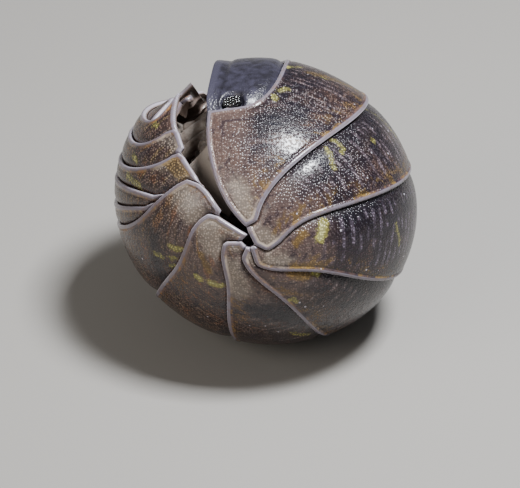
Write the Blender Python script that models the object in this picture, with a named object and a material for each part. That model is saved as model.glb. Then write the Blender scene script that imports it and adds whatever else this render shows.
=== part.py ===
"""A pill woodlouse rolled into a ball, life size: metres, +Z up, resting on small flats at z = 0.

Places on the ball are given the way the animal is rolled. The roll axis runs from the right flank to
the left flank. A lateral angle is measured from the midline towards a flank, and a turn is measured
round the roll axis, from the middle of the slit between head and tail, over the head, to the tail.
All angles are in degrees.
"""
import math
from collections import namedtuple

import bmesh
import bpy
from mathutils import Matrix, Vector

MM = 0.001
SHARP_ANGLE = 35.0        # edges steeper than this show sharp

# The ball
BALL_RADIUS = 4.0 * MM
OVAL = 0.038              # the ball is longer than round by this share one way, and shorter the other
OVAL_TURN = 142.6         # turn of the long way
AXIS_YAW = 7.2            # the left flank looks this far from -Y towards -X
AXIS_TILT = 18.7          # and this far upwards
SLIT_AZIMUTH = 124.3      # the slit's middle, above the level line across the roll axis
FLAT_DEPTH = 0.17 * MM    # how much of the underside is flattened where it rests

# The plates of the back
RIM = 0.12 * MM           # thickness of a free hind rim
ROOT = 0.40 * MM          # depth under the ball's surface where a rim joins its segment
GAP = 0.10 * MM           # clearance between a rim and the plate that slides under it
TUCK = 8.0                # how far a plate reaches under the one in front of it
WALL_GAP = 3.0            # clearance between the walls of two segments
LOBE = 0.90 * MM          # depth of a side lobe
LOBE_EDGE = 0.56 * MM     # depth of a lobe at its free end
TRUNK = 1.75 * MM         # distance from the roll axis to the underside of the trunk
TAIL_TRUNK = 2.55 * MM    # the same under the tail
TAIL_LOBE_START = 0.35    # share of a tail plate's half width beyond which its trunk thins to the lobe
SMALLEST_COSINE = 0.05    # keeps the trunk's underside in reach near the flanks
TUCK_SHARE = 0.45         # the most of a narrow plate that its hind rim may stand clear over
WALL_GAP_SHARE = 0.2      # and the most of it that the clearance between walls may take
EMERGE = (0.12, 0.3, 0.5, 0.7, 0.86)   # stations across a plate between its two margins
RISE_POWER = 5            # how soon a plate rises to its full height behind the rim before it

Plate = namedtuple("Plate", "cover corner last lateral mid bow sweep power tip trunk")
# cover: the plate whose hind rim lies over this one, from the station given with it
# corner and last: station of the hind corner, and of the end of the side lobe
# lateral: lateral angle of the corner; mid: turn of the hind margin on the midline
# bow and sweep: how far the hind margin turns tailward evenly, and near the corner
# power: how suddenly it sweeps
# tip: lateral angle and turn of the last station
PLATES = {
    "pereonite_1": Plate((), 16, 20, 81.0, 75.0, -30.0, 10.0, 16, (84.0, 24.0), TRUNK),
    "pereonite_2": Plate(((0, "pereonite_1"),), 16, 20, 81.6, 107.0, -12.0, 55.0, 16, (87.3, 150.0),
                         TRUNK),
    "pereonite_3": Plate(((0, "pereonite_2"),), 16, 20, 79.0, 149.0, -4.0, 53.0, 10, (87.3, 198.0), TRUNK),
    "pereonite_4": Plate(((0, "pereonite_3"),), 16, 20, 82.0, 187.5, -7.0, 53.0, 8, (87.3, 233.0), TRUNK),
    "pereonite_5": Plate(((0, "pereonite_4"),), 16, 20, 80.0, 222.6, 15.0, 58.0, 16, (87.3, 297.0), TRUNK),
    "pereonite_6": Plate(((0, "pereonite_5"),), 16, 20, 70.9, 259.0, 23.0, 56.0, 14, (87.3, 25.0), TRUNK),
    "pereonite_7": Plate(((0, "pereonite_6"),), 16, 17, 57.6, 292.0, 16.0, 44.0, 7, (74.5, 349.5), TRUNK),
    "pleonite_1": Plate(((0, "pereonite_7"),), 12, 12, 43.2, 300.5, 10.5, 0.0, 3, None, TAIL_TRUNK),
    "pleonite_2": Plate(((0, "pleonite_1"), (13, "pereonite_7")), 13, 13, 46.8, 311.3, 8.7, 0.0, 3, None,
                        TAIL_TRUNK),
    "pleonite_3": Plate(((0, "pleonite_2"), (14, "pereonite_7")), 12, 16, 44.1, 319.0, 0.0, 31.5, 1.25,
                        (57.6, 350.6), TAIL_TRUNK),
    "pleonite_4": Plate(((0, "pleonite_3"),), 9, 12, 32.6, 330.0, 0.0, 24.5, 1.5, (44.0, 353.0), TAIL_TRUNK),
    "pleonite_5": Plate(((0, "pleonite_4"),), 9, 9, 12.7, 339.5, 0.0, 19.4, 2.4, None, TAIL_TRUNK),
}
ARCHED = ("pleonite_3", "pleonite_4")   # plates whose hind margin is one even arch, without a corner
CROWDING = 1.35           # above 1, the stations of the other plates crowd towards the corner
LAST_EPIMERON_REACH = 25.0   # how far the last plate's hind margin bulges sideways before its tip

# The front of the first plate: a notch for the head, and a free side margin
NOTCH_TURN = 20.0
NOTCH_LENGTH = 20.0
NOTCH_WIDTH = 33.5
NOTCH_POWER = 3           # 2 would be an ellipse, and more is squarer
NOTCH_STATION = 10
NOTCH_END = 107.0         # how far round the notch its outline runs before the side margin starts
SIDE_START_TURN = 11.2
SIDE_HOLLOW = 1.4         # above 1, the side margin falls away sooner towards the slit
SIDE_END = (83.0, 17.0)
SIDE_EASE = 1.6           # above 1, the side margin's stations crowd towards its hind end
SIDE_BEND = 12            # how late the side margin turns tailward
NOTCH_MARGIN = 0.97       # share of the notch's size at which the head is as deep as the rim needs
NOTCH_WALL = 49.0         # turn of the wall behind the head
NOTCH_WALL_SHARES = (0.2, 0.5)   # least and most of the plate's width that lie before that wall
NOTCH_FLOOR = 0.6         # share of the way to that wall where the front lobe thins to its rim
NOTCH_FLOOR_ARC = 6.0     # and the widest arc for it
NOTCH_UNDER = 0.45 * MM   # depth of the underside of the front lobes

# The head, which fills the notch
HEAD_WIDTH = 38.0         # lateral angle to which it reaches, under the front lobes
HEAD_COLUMNS = 14
HEAD_FRONT = 14.0         # turn of its front margin on the midline
HEAD_FRONT_BEND = 4.0     # and how much nearer the slit that margin lies at the eyes
HEAD_BACK = 45.5
HEAD_TUCK = 2.2           # how far the head's top drops away behind the notch's edge
HEAD_UNDER = 0.62 * MM    # depth of its hidden back under the rim
FLUSH_SHARE = 0.7         # share of the notch's size within which the head lies flush
DROP_SHARE = 0.1          # share over which it drops under the first plate
BROW = ((0.0, -0.05 * MM), (0.07, -0.04 * MM), (0.14, 0.03 * MM))   # raised front margin, and a groove
VERTEX = (0.25, 0.45, 0.7, 0.9)
# the face below the front margin: turn past that margin, and distance from the centre in millimetres
FACE = ((-1.4, 3.93), (-1.6, 3.80), (-0.4, 3.62), (1.5, 3.0), (1.0, 2.45), (4.5, 1.95), (11.0, 1.6))
MOUTH_RADIUS = 1.45 * MM
MOUTH_TURNS = (31.0, 43.5)
CHEEK_RISE = 0.9 * MM     # how much higher the underside lies at the cheeks
EYE_PLACE = (29.2, 22.0, 0.13 * MM)   # lateral angle, turn and depth
EYE_HALF = (0.20 * MM, 0.28 * MM, 0.19 * MM)   # half sizes sideways, tailward and outward
EYE_DETAIL = 12
BUMP_DETAIL = 10
# bumps of the face: lateral angle, turn, depth, and half sizes sideways, tailward and outward
FACE_BUMPS = {
    "lip": (0.0, 14.5, 1.75 * MM, (0.62 * MM, 0.26 * MM, 0.42 * MM)),
    "jaw": (18.0, 17.0, 1.95 * MM, (0.26 * MM, 0.30 * MM, 0.42 * MM)),
    "mouth_foot": (12.0, 27.0, 2.5 * MM, (0.26 * MM, 0.62 * MM, 0.20 * MM)),
}

# The right half of the tail's end lies a little deeper than the left one: how much, as a share of the
# distance from the centre, and the turns and lateral angles over which that comes and goes
TAIL_DIP = 0.055
DIP_TURNS = (338.0, 347.0, 362.0, 370.0)
DIP_LATERALS = (-50.0, -25.0, -9.0, 3.0)

# The tail: the telson between two flat tail limbs
TELSON_STATIONS = 4
TELSON_TIP = (6.0, 352.0)
TELSON_SINK = 0.24 * MM   # depth of its tip under the ball's surface
TELSON_DEPTH = 0.26 * MM   # its thickness there
TELSON_KEEL = 0.4         # share of its length over which its underside slopes up from the root
UROPOD_FRONT = ((16.6, 343.9), (17.6, 345.4))   # inner and outer corner: lateral angle and turn
UROPOD_HIND = ((7.4, 353.0), (11.4, 357.4))
UROPOD_BULGE = 3.0        # how far its outer edge bulges sideways
UROPOD_TOP = 0.30 * MM
UROPOD_DEPTH = 0.62 * MM
UROPOD_ROOT = ((18.4, 341.6), (19.6, 342.9))
UROPOD_ROOT_DEPTH = 1.05 * MM
UROPOD_SHARES = (0.3, 0.65, 1.0)   # sections between its front and hind ends

# Seven pairs of legs, each folded like a hairpin in the hollow of the ball
LEG_ROOT_TURNS = (57.0, 83.0, 120.0, 160.0, 197.0, 232.0, 267.0)
LEG_FIRST_TURN = 54.0
LEG_TURN_STEP = 36.2
# side and distance out of each point of a leg's path, and its radius there, in millimetres
LEG_PATH = ((1.85, 1.61), (1.85, 1.44), (1.62, 1.34), (1.15, 1.31), (0.64, 1.25), (0.38, 1.03), (0.55, 0.80),
            (1.05, 0.76), (1.55, 0.78), (1.98, 0.86))
LEG_RADII = (0.21, 0.21, 0.22, 0.22, 0.20, 0.19, 0.19, 0.17, 0.14, 0.06)
LEG_RINGS = 15
LEG_SWING = 3             # place along the path from which the leg lies at its own even turn

# The feelers: side, distance out and turn of each point of the path, and radius there, in millimetres
FEELER_PATH = ((0.82, 2.75, 9.6), (0.86, 2.68, 4.5), (1.1, 2.52, 359.0), (1.6, 2.35, 357.0),
               (2.15, 2.15, 359.5), (2.5, 1.92, 366.0), (2.52, 1.78, 374.0), (2.42, 1.66, 382.0),
               (2.35, 1.55, 392.0))
FEELER_RADII = (0.22, 0.23, 0.22, 0.21, 0.20, 0.20, 0.18, 0.13, 0.06)
FEELER_RINGS = 17
TUBE_RADIUS = 1.0 * MM    # bevel depth of every tube, scaled at each ring

# The gill flaps under the tail
GILL_SIDES = (0.13, 0.5, 0.95, 1.35, 1.6)
GILL_TURNS = (289.0, 337.0)
GILL_FLAPS = 5
GILL_TOP = 2.40
GILL_THIN = 0.24
GILL_THICK = 0.50
GILL_LIFT = 0.1           # how much nearer the shell the flaps lie at the side


def direction(lateral, turn):
    """Unit vector of a place on the ball, in the animal's own axes: left, and two across the roll axis."""
    a, b = math.radians(lateral), math.radians(turn)
    return Vector((math.sin(a), math.cos(a) * math.cos(b), math.cos(a) * math.sin(b)))


def roll_axes():
    """The left flank's direction, the level direction across it and the upward one, in the world."""
    yaw, tilt = math.radians(AXIS_YAW), math.radians(AXIS_TILT)
    left = Vector((-math.sin(yaw) * math.cos(tilt), -math.cos(yaw) * math.cos(tilt), math.sin(tilt)))
    level = Vector((math.cos(yaw), -math.sin(yaw), 0.0))
    return left, level, left.cross(level)


LEFT, LEVEL, UPPER = roll_axes()


def turned(angle):
    """World direction across the roll axis at a turn."""
    a = math.radians(SLIT_AZIMUTH - angle)
    return LEVEL * math.cos(a) + UPPER * math.sin(a)


LONG_WAY = turned(OVAL_TURN)
SHORT_WAY = turned(OVAL_TURN - 90.0)


def ball_height():
    """Distance from the ball's centre down to its lowest point."""
    reach = Vector((LEFT.z, (1 + OVAL) * LONG_WAY.z, (1 - OVAL) * SHORT_WAY.z))
    return BALL_RADIUS * reach.length


CENTRE = Vector((0.0, 0.0, ball_height() - FLAT_DEPTH))


def rise_and_fall(value, stations):
    """0 outside the first and last stations, 1 between the middle two, and smooth between."""
    first, full, last, end = stations
    up = min(max((value - first) / (full - first), 0.0), 1.0)
    down = min(max((end - value) / (end - last), 0.0), 1.0)
    return up * up * (3 - 2 * up) * down * down * (3 - 2 * down)


def tail_dip(way):
    """Share of the distance from the centre that is kept at a direction in the animal's axes."""
    turn = math.degrees(math.atan2(way.z, way.y)) % 360.0
    if turn < DIP_TURNS[-1] - 360.0:
        turn += 360.0
    lateral = math.degrees(math.atan2(way.x, math.hypot(way.y, way.z)))
    return 1 - TAIL_DIP * rise_and_fall(turn, DIP_TURNS) * rise_and_fall(lateral, DIP_LATERALS)


def placed(way, radius):
    """World place of a direction in the animal's axes, at a distance from the centre."""
    radius = radius * tail_dip(way)
    flat = turned(0.0) * way.y + turned(90.0) * way.z
    flat = LONG_WAY * flat.dot(LONG_WAY) * (1 + OVAL) + SHORT_WAY * flat.dot(SHORT_WAY) * (1 - OVAL)
    return CENTRE + (LEFT * way.x + flat) * radius


def roll_point(side, out, turn):
    """World place at a distance to the left along the roll axis, a distance out from it, and a turn."""
    a = math.radians(turn)
    way = Vector((side, out * math.cos(a), out * math.sin(a)))
    return placed(way, 1.0)


def mixed(a, b, share):
    """Direction part of the way from one direction to another, on the ball."""
    if a.angle(b) < 1e-6:
        return a.copy()
    return a.slerp(b, share)


def moved(start, towards, degrees):
    """Direction moved by an arc towards another one."""
    arc = math.degrees(start.angle(towards))
    return mixed(start, towards, degrees / arc)


def cover_of(name, station):
    """The plate that lies over this one at a station."""
    found = None
    for first, cover in PLATES[name].cover:
        if station >= first:
            found = cover
    return found


def hind(name, station):
    """Direction of a plate's hind margin at a station, on the left half, with its corner rounded off."""
    plate = PLATES[name]
    here = sharp_hind(name, station)
    if plate.last > plate.corner and abs(station - plate.corner) <= 1 and station < plate.last:
        around = sharp_hind(name, station - 1) + sharp_hind(name, station + 1)
        return (here * 2 + around).normalized()
    return here


def sharp_hind(name, station):
    """The same margin with its corner left sharp."""
    plate = PLATES[name]
    share = min(station / plate.corner, 1.0)
    if name in ARCHED:
        t = math.sin(math.pi / 2 * share)
        rise = 1 - math.cos(math.pi / 2 * share)
    elif name == "pleonite_5":
        t = rise = share
    else:
        t = rise = 1 - (1 - share) ** CROWDING
    lateral = plate.lateral * t
    if name == "pleonite_5":
        lateral += LAST_EPIMERON_REACH * (t - t ** 4)
    edge = direction(lateral, plate.mid + plate.bow * t ** 2 + plate.sweep * rise ** plate.power)
    if station > plate.corner:
        beyond = (station - plate.corner) / (plate.last - plate.corner)
        edge = mixed(edge, direction(*plate.tip), beyond)
    return edge


def notch_outline(a):
    """Lateral angle and turn of the head's notch, at an angle round it in radians."""
    lateral = NOTCH_WIDTH * abs(math.sin(a)) ** (2 / NOTCH_POWER)
    way = math.copysign(abs(math.cos(a)) ** (2 / NOTCH_POWER), math.cos(a))
    return lateral, NOTCH_TURN + NOTCH_LENGTH * way


def first_front(station):
    """Front margin of the first plate: round the head's notch, and then along the free side."""
    last = PLATES["pereonite_1"].last
    if station <= NOTCH_STATION:
        a = math.radians(NOTCH_END * station / NOTCH_STATION)
        return direction(*notch_outline(a))
    start = notch_outline(math.radians(NOTCH_END))[0]
    share = (station - NOTCH_STATION) / (last - NOTCH_STATION)
    u = 1 - (1 - share) ** SIDE_EASE
    turn = SIDE_START_TURN * (1 - u) ** SIDE_HOLLOW + SIDE_END[1] * u ** SIDE_BEND
    return direction(start + (SIDE_END[0] - start) * u, turn)


def front(name, station):
    """Direction of a plate's visible front margin at a station."""
    cover = cover_of(name, station)
    if cover is None:
        return first_front(station)
    return hind(cover, station)


def tuck_arc(name, station):
    """Arc from a plate's hind margin forward to the wall under its rim."""
    arc = math.degrees(hind(name, station).angle(front(name, station)))
    return min(TUCK, TUCK_SHARE * arc), min(WALL_GAP, WALL_GAP_SHARE * arc)


def hind_wall(name, station, side):
    """Direction of the wall under a plate's hind rim: side -1 is this plate's wall, +1 the next one's."""
    tuck, gap = tuck_arc(name, station)
    return moved(hind(name, station), front(name, station), tuck - side * gap / 2)


def inner_radius(way, plate, station, lobe):
    """Distance from the centre to the underside: the trunk in the middle, a lobe of even depth outside."""
    cosine = max(math.hypot(way.y, way.z), SMALLEST_COSINE)
    radius = min(plate.trunk / cosine, BALL_RADIUS - lobe)
    if plate.trunk != TAIL_TRUNK:
        return radius
    beyond = (station / plate.last - TAIL_LOBE_START) / (1 - TAIL_LOBE_START)
    return radius + (BALL_RADIUS - lobe - radius) * min(max(beyond, 0.0), 1.0)


def plate_loop(name, station):
    """Closed section of a segment at a station, as directions and distances from the centre."""
    plate = PLATES[name]
    cover = cover_of(name, station)
    a, b = front(name, station), hind(name, station)
    before = hind_wall(cover, station, 1)
    after = hind_wall(name, station, -1)
    lobe = LOBE if station < plate.last - 1 else LOBE_EDGE
    step = RIM + GAP
    loop = [(before, BALL_RADIUS - ROOT - GAP), (a, BALL_RADIUS - step)]
    loop += [(mixed(a, b, s), BALL_RADIUS - step * (1 - s) ** RISE_POWER) for s in EMERGE]
    loop += [(b, BALL_RADIUS), (b, BALL_RADIUS - RIM), (after, BALL_RADIUS - ROOT)]
    for way in (after, mixed(after, before, 0.5), before):
        loop.append((way, inner_radius(way, plate, station, lobe)))
    return loop


def first_loop(station):
    """Closed section of the first segment, which has a rim on its front as well."""
    name = "pereonite_1"
    plate = PLATES[name]
    a, b = first_front(station), hind(name, station)
    after = hind_wall(name, station, -1)
    arc = math.degrees(a.angle(b))
    turn_a, turn_b = (math.degrees(math.atan2(w.z, w.y)) for w in (a, b))
    least, most = NOTCH_WALL_SHARES
    wall_share = min(max((NOTCH_WALL - turn_a) / max(turn_b - turn_a, 1.0), least), most)
    wall = mixed(a, b, wall_share)
    under = mixed(a, b, min(NOTCH_FLOOR * wall_share, NOTCH_FLOOR_ARC / arc))
    lobe = LOBE if station < plate.last - 1 else LOBE_EDGE
    loop = [(a, BALL_RADIUS - RIM), (a, BALL_RADIUS)]
    loop += [(mixed(a, b, s), BALL_RADIUS) for s in EMERGE]
    loop += [(b, BALL_RADIUS), (b, BALL_RADIUS - RIM), (after, BALL_RADIUS - ROOT)]
    loop += [(way, inner_radius(way, plate, station, lobe)) for way in (after, wall)]
    loop += [(wall, BALL_RADIUS - NOTCH_UNDER), (under, BALL_RADIUS - NOTCH_UNDER)]
    return loop


def mirrored(loop):
    """The same section on the right half."""
    return [(Vector((-way.x, way.y, way.z)), radius) for way, radius in loop]


def material(name, colour, roughness):
    """Principled material of one kind of surface."""
    found = bpy.data.materials.get(name) or bpy.data.materials.new(name)
    found.use_nodes = True
    shader = found.node_tree.nodes["Principled BSDF"]
    shader.inputs["Base Color"].default_value = (*colour, 1.0)
    shader.inputs["Roughness"].default_value = roughness
    shader.inputs["Metallic"].default_value = 0.0
    return found


def finish_mesh(name, bm, surface):
    """Turn a bmesh into a named object, cut flat where it would pass the floor."""
    bmesh.ops.recalc_face_normals(bm, faces=bm.faces[:])
    if min(v.co.z for v in bm.verts) < 0.0:
        cut = bmesh.ops.bisect_plane(bm, geom=bm.verts[:] + bm.edges[:] + bm.faces[:], dist=1e-7,
                                     plane_co=(0, 0, 0), plane_no=(0, 0, -1), clear_outer=True)
        edges = [e for e in cut["geom_cut"] if isinstance(e, bmesh.types.BMEdge)]
        bmesh.ops.holes_fill(bm, edges=edges)
    bmesh.ops.triangulate(bm, faces=bm.faces[:])
    bmesh.ops.recalc_face_normals(bm, faces=bm.faces[:])
    mesh = bpy.data.meshes.new(name)
    bm.to_mesh(mesh)
    bm.free()
    mesh.materials.append(surface)
    mesh.shade_smooth()
    mesh.set_sharp_from_angle(angle=math.radians(SHARP_ANGLE))
    thing = bpy.data.objects.new(name, mesh)
    bpy.context.collection.objects.link(thing)
    return thing


def loft(loops):
    """One closed body through a row of like loops, made by extruding the first from place to place."""
    bm = bmesh.new()
    cap = bm.faces.new([bm.verts.new(p) for p in loops[0]])
    for loop in loops[1:]:
        grown = bmesh.ops.extrude_face_region(bm, geom=[cap])
        if len(bm.faces) > len(loop) + 2:
            bmesh.ops.delete(bm, geom=[cap], context="FACES_ONLY")
        cap = next(g for g in grown["geom"] if isinstance(g, bmesh.types.BMFace))
        for vert, point in zip(cap.verts, loop):
            vert.co = point
    return bm


def segment(name, surface):
    """One segment of the back: the plate with its side lobes, and the trunk under it."""
    maker = first_loop if name == "pereonite_1" else lambda station: plate_loop(name, station)
    half = [maker(station) for station in range(PLATES[name].last + 1)]
    rows = [mirrored(loop) for loop in reversed(half[1:])] + half
    loops = [[placed(way, radius) for way, radius in row] for row in rows]
    return finish_mesh(name, loft(loops), surface)


def notch_edge(lateral):
    """Turn of the notch's back edge at a lateral angle."""
    share = min(abs(lateral) / NOTCH_WIDTH, 1.0)
    return NOTCH_TURN + NOTCH_LENGTH * (1 - share ** NOTCH_POWER) ** (1 / NOTCH_POWER)


def head_depth(lateral, turn):
    """Depth of the top of the head: flush in the notch, and deeper where the first plate covers it."""
    back = abs(turn - NOTCH_TURN) / NOTCH_LENGTH
    across = abs(lateral) / NOTCH_WIDTH
    reach = (across ** NOTCH_POWER + back ** NOTCH_POWER) ** (1 / NOTCH_POWER)
    step = RIM + GAP
    if reach > NOTCH_MARGIN:
        return min(step + (HEAD_UNDER - step) * (reach - NOTCH_MARGIN) / DROP_SHARE, HEAD_UNDER)
    return step * max((reach - FLUSH_SHARE) / (NOTCH_MARGIN - FLUSH_SHARE), 0.0) ** 3


def head_loop(lateral):
    """Closed section of the head at a lateral angle."""
    front_turn = HEAD_FRONT - HEAD_FRONT_BEND * (lateral / NOTCH_WIDTH) ** 2
    edge = notch_edge(lateral)
    drop = head_depth(lateral, front_turn)
    turns = [front_turn + (edge - front_turn) * s for s in VERTEX] + [edge, edge + HEAD_TUCK]
    loop = [(direction(lateral, HEAD_BACK), BALL_RADIUS - HEAD_UNDER)]
    loop += [(direction(lateral, t), BALL_RADIUS - head_depth(lateral, t)) for t in reversed(turns)]
    for share, deeper in reversed(BROW):
        turn = front_turn + (edge - front_turn) * share
        loop.append((direction(lateral, turn), BALL_RADIUS - max(head_depth(lateral, turn), drop) - deeper))
    rise = CHEEK_RISE * (lateral / HEAD_WIDTH) ** 2
    for step, radius in FACE:
        deep = 1.0 - radius * MM / BALL_RADIUS
        loop.append((direction(lateral, front_turn + step), radius * MM - drop * (1 - deep) + rise * deep))
    loop += [(direction(lateral, turn), MOUTH_RADIUS + rise) for turn in MOUTH_TURNS]
    return loop


def local_frame(lateral, turn, depth):
    """Matrix of a place on the ball: its columns point sideways, tailward and outward."""
    here = placed(direction(lateral, turn), BALL_RADIUS - depth)
    sideways = placed(direction(lateral + 1.0, turn), BALL_RADIUS - depth) - here
    outward = placed(direction(lateral, turn), BALL_RADIUS) - CENTRE
    tailward = outward.cross(sideways).normalized()
    sideways = tailward.cross(outward).normalized()
    outward.normalize()
    frame = Matrix((sideways, tailward, outward)).transposed().to_4x4()
    frame.translation = here
    return frame


def ellipsoid(name, frame, half, detail):
    """Closed ellipsoid with its half axes along a frame."""
    bm = bmesh.new()
    bmesh.ops.create_uvsphere(bm, u_segments=detail, v_segments=detail // 2, radius=1.0)
    bmesh.ops.transform(bm, matrix=frame @ Matrix.Diagonal((*half, 1.0)), verts=bm.verts[:])
    mesh = bpy.data.meshes.new(name)
    bm.to_mesh(mesh)
    bm.free()
    thing = bpy.data.objects.new(name, mesh)
    bpy.context.collection.objects.link(thing)
    return thing


def combine(target, pieces, operation):
    """Join pieces to an object, or cut them from it, and remove them."""
    group = bpy.data.collections.new("pieces")
    for piece in pieces:
        group.objects.link(piece)
    change = target.modifiers.new("combine", "BOOLEAN")
    change.operation = operation
    change.solver = "EXACT"
    change.operand_type = "COLLECTION"
    change.collection = group
    with bpy.context.temp_override(object=target, active_object=target, selected_objects=[target]):
        bpy.ops.object.modifier_apply(modifier=change.name)
    for piece in pieces:
        bpy.data.objects.remove(piece, do_unlink=True)
    bpy.data.collections.remove(group)
    keep_largest(target)


def keep_largest(thing):
    """Keep only the largest closed surface of a mesh object."""
    bm = bmesh.new()
    bm.from_mesh(thing.data)
    left = set(bm.verts)
    islands = []
    while left:
        seed = left.pop()
        island, edge = {seed}, [seed]
        while edge:
            for link in edge.pop().link_edges:
                for vert in link.verts:
                    if vert in left:
                        left.discard(vert)
                        island.add(vert)
                        edge.append(vert)
        islands.append(island)
    islands.sort(key=len)
    spare = [vert for island in islands[:-1] for vert in island]
    bmesh.ops.delete(bm, geom=spare, context="VERTS")
    bmesh.ops.triangulate(bm, faces=bm.faces[:])
    bm.to_mesh(thing.data)
    bm.free()


def head(surface):
    """The head, with a socket for each eye."""
    steps = [math.sin(math.radians(90.0 * (2 * k / HEAD_COLUMNS - 1))) for k in range(HEAD_COLUMNS + 1)]
    loops = [[placed(way, radius) for way, radius in head_loop(HEAD_WIDTH * step)] for step in steps]
    skull = finish_mesh("head", loft(loops), surface)
    wide = [half + GAP for half in EYE_HALF]
    lateral, turn, depth = EYE_PLACE
    places = [local_frame(side * lateral, turn, depth) for side in (1, -1)]
    sockets = [ellipsoid("socket", place, wide, EYE_DETAIL) for place in places]
    combine(skull, sockets, "DIFFERENCE")
    bumps = []
    for name, (lateral, turn, depth, half) in FACE_BUMPS.items():
        for side in (1, -1) if lateral else (1,):
            bumps.append(ellipsoid(name, local_frame(side * lateral, turn, depth), half, BUMP_DETAIL))
    combine(skull, bumps, "UNION")
    return skull


def eye(side, surface):
    """One compound eye: side 1 is the left one."""
    lateral, turn, depth = EYE_PLACE
    place = local_frame(side * lateral, turn, depth)
    ball = ellipsoid(f"eye_{side_name(side)}", place, EYE_HALF, EYE_DETAIL)
    ball.data.materials.append(surface)
    ball.data.shade_smooth()
    return ball


def side_name(side):
    """Left for 1 and right for -1."""
    return "left" if side > 0 else "right"


def telson(surface):
    """The last plate, between the tail limbs."""
    name = "pleonite_5"
    half = []
    for station in range(TELSON_STATIONS + 1):
        share = station / TELSON_STATIONS
        a = hind(name, station)
        b = direction(TELSON_TIP[0] * share, TELSON_TIP[1] - share ** 2)
        wall = hind_wall(name, station, 1)
        step = RIM + GAP
        loop = [(wall, BALL_RADIUS - ROOT - GAP), (a, BALL_RADIUS - step)]
        loop += [(mixed(a, b, s), BALL_RADIUS - step - (TELSON_SINK - step) * s) for s in EMERGE]
        loop += [(b, BALL_RADIUS - TELSON_SINK), (b, BALL_RADIUS - TELSON_SINK - TELSON_DEPTH)]
        loop.append((mixed(a, b, TELSON_KEEL), BALL_RADIUS - TELSON_SINK - TELSON_DEPTH))
        loop.append((wall, BALL_RADIUS - UROPOD_ROOT_DEPTH))
        half.append(loop)
    rows = [mirrored(loop) for loop in reversed(half[1:])] + half
    return finish_mesh("telson", loft([[placed(w, r) for w, r in row] for row in rows]), surface)


def uropod(side, surface):
    """One flat tail limb, flush between the telson and the last side lobe."""
    rows = [(UROPOD_ROOT, ROOT + 2 * GAP, UROPOD_ROOT_DEPTH), (UROPOD_FRONT, ROOT, UROPOD_ROOT_DEPTH)]
    for share in UROPOD_SHARES:
        ends = zip(UROPOD_FRONT, UROPOD_HIND)
        inner, outer = [[a + (b - a) * share for a, b in zip(p, q)] for p, q in ends]
        outer[0] += UROPOD_BULGE * 4 * share * (1 - share)
        rows.append(((inner, outer), UROPOD_TOP, UROPOD_DEPTH))
    loops = []
    for (inner, outer), top, bottom in rows:
        middle = [(a + b) / 2 for a, b in zip(inner, outer)]
        top_row = [(direction(side * p[0], p[1]), BALL_RADIUS - top) for p in (inner, middle, outer)]
        low_row = [(direction(side * p[0], p[1]), BALL_RADIUS - bottom) for p in (outer, middle, inner)]
        loops.append([placed(way, radius) for way, radius in top_row + low_row])
    return finish_mesh(f"uropod_{side_name(side)}", loft(loops), surface)


def spread(values, share):
    """Value on a smooth curve through a row of values, at a share of its length."""
    place = share * (len(values) - 1)
    k = min(int(place), len(values) - 2)
    t = place - k
    before = values[max(k - 1, 0)]
    a, b = values[k], values[k + 1]
    after = values[min(k + 2, len(values) - 1)]
    return 0.5 * (2 * a + (b - before) * t + (2 * before - 5 * a + 4 * b - after) * t ** 2
                  + (3 * a - before - 3 * b + after) * t ** 3)


def tube(name, points, radii, rings, surface):
    """Tapered tube through points, as a bevelled curve with filled caps."""
    curve = bpy.data.curves.new(name, "CURVE")
    curve.dimensions = "3D"
    curve.bevel_depth = TUBE_RADIUS
    curve.bevel_resolution = 2
    curve.use_fill_caps = True
    spline = curve.splines.new("POLY")
    spline.points.add(rings - 1)
    for k, point in enumerate(spline.points):
        share = k / (rings - 1)
        place = Vector([spread([p[axis] for p in points], share) for axis in range(3)])
        point.co = (*place, 1.0)
        point.radius = spread(radii, share) * MM / TUBE_RADIUS
    curve.materials.append(surface)
    thing = bpy.data.objects.new(name, curve)
    bpy.context.collection.objects.link(thing)
    return thing


def leg(side, number, surface):
    """One leg of a pair, counted from the head: from its hip to the midline and back outwards."""
    root, own = LEG_ROOT_TURNS[number - 1], LEG_FIRST_TURN + LEG_TURN_STEP * (number - 1)
    points = []
    for k, (across, out) in enumerate(LEG_PATH):
        turn = root + (own - root) * min(max(k - 1, 0) / LEG_SWING, 1.0)
        points.append(roll_point(side * across * MM, out * MM, turn))
    return tube(f"leg_{side_name(side)}_{number}", points, LEG_RADII, LEG_RINGS, surface)


def antenna(side, surface):
    """One feeler, folded sideways from the face and back under the front lobe."""
    points = [roll_point(side * across * MM, out * MM, turn) for across, out, turn in FEELER_PATH]
    return tube(f"antenna_{side_name(side)}", points, FEELER_RADII, FEELER_RINGS, surface)


def gills(side, surface):
    """The flaps under one side of the tail, overlapping like tiles."""
    start, end = GILL_TURNS
    outline = [(end, GILL_TOP), (start, GILL_TOP)]
    for flap in range(GILL_FLAPS):
        a = start + (end - start) * flap / GILL_FLAPS
        b = start + (end - start) * (flap + 1) / GILL_FLAPS
        outline += [(a, GILL_TOP - GILL_THIN), (b, GILL_TOP - GILL_THICK)]
    loops = []
    for k, across in enumerate(GILL_SIDES):
        lift = GILL_LIFT * (k / (len(GILL_SIDES) - 1)) ** 2
        loops.append([roll_point(side * across * MM, min(out + lift, GILL_TOP) * MM, turn)
                      for turn, out in outline])
    return finish_mesh(f"gills_{side_name(side)}", loft(loops), surface)


def clear_scene():
    """Remove what the file holds."""
    for thing in list(bpy.data.objects):
        bpy.data.objects.remove(thing, do_unlink=True)


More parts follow.
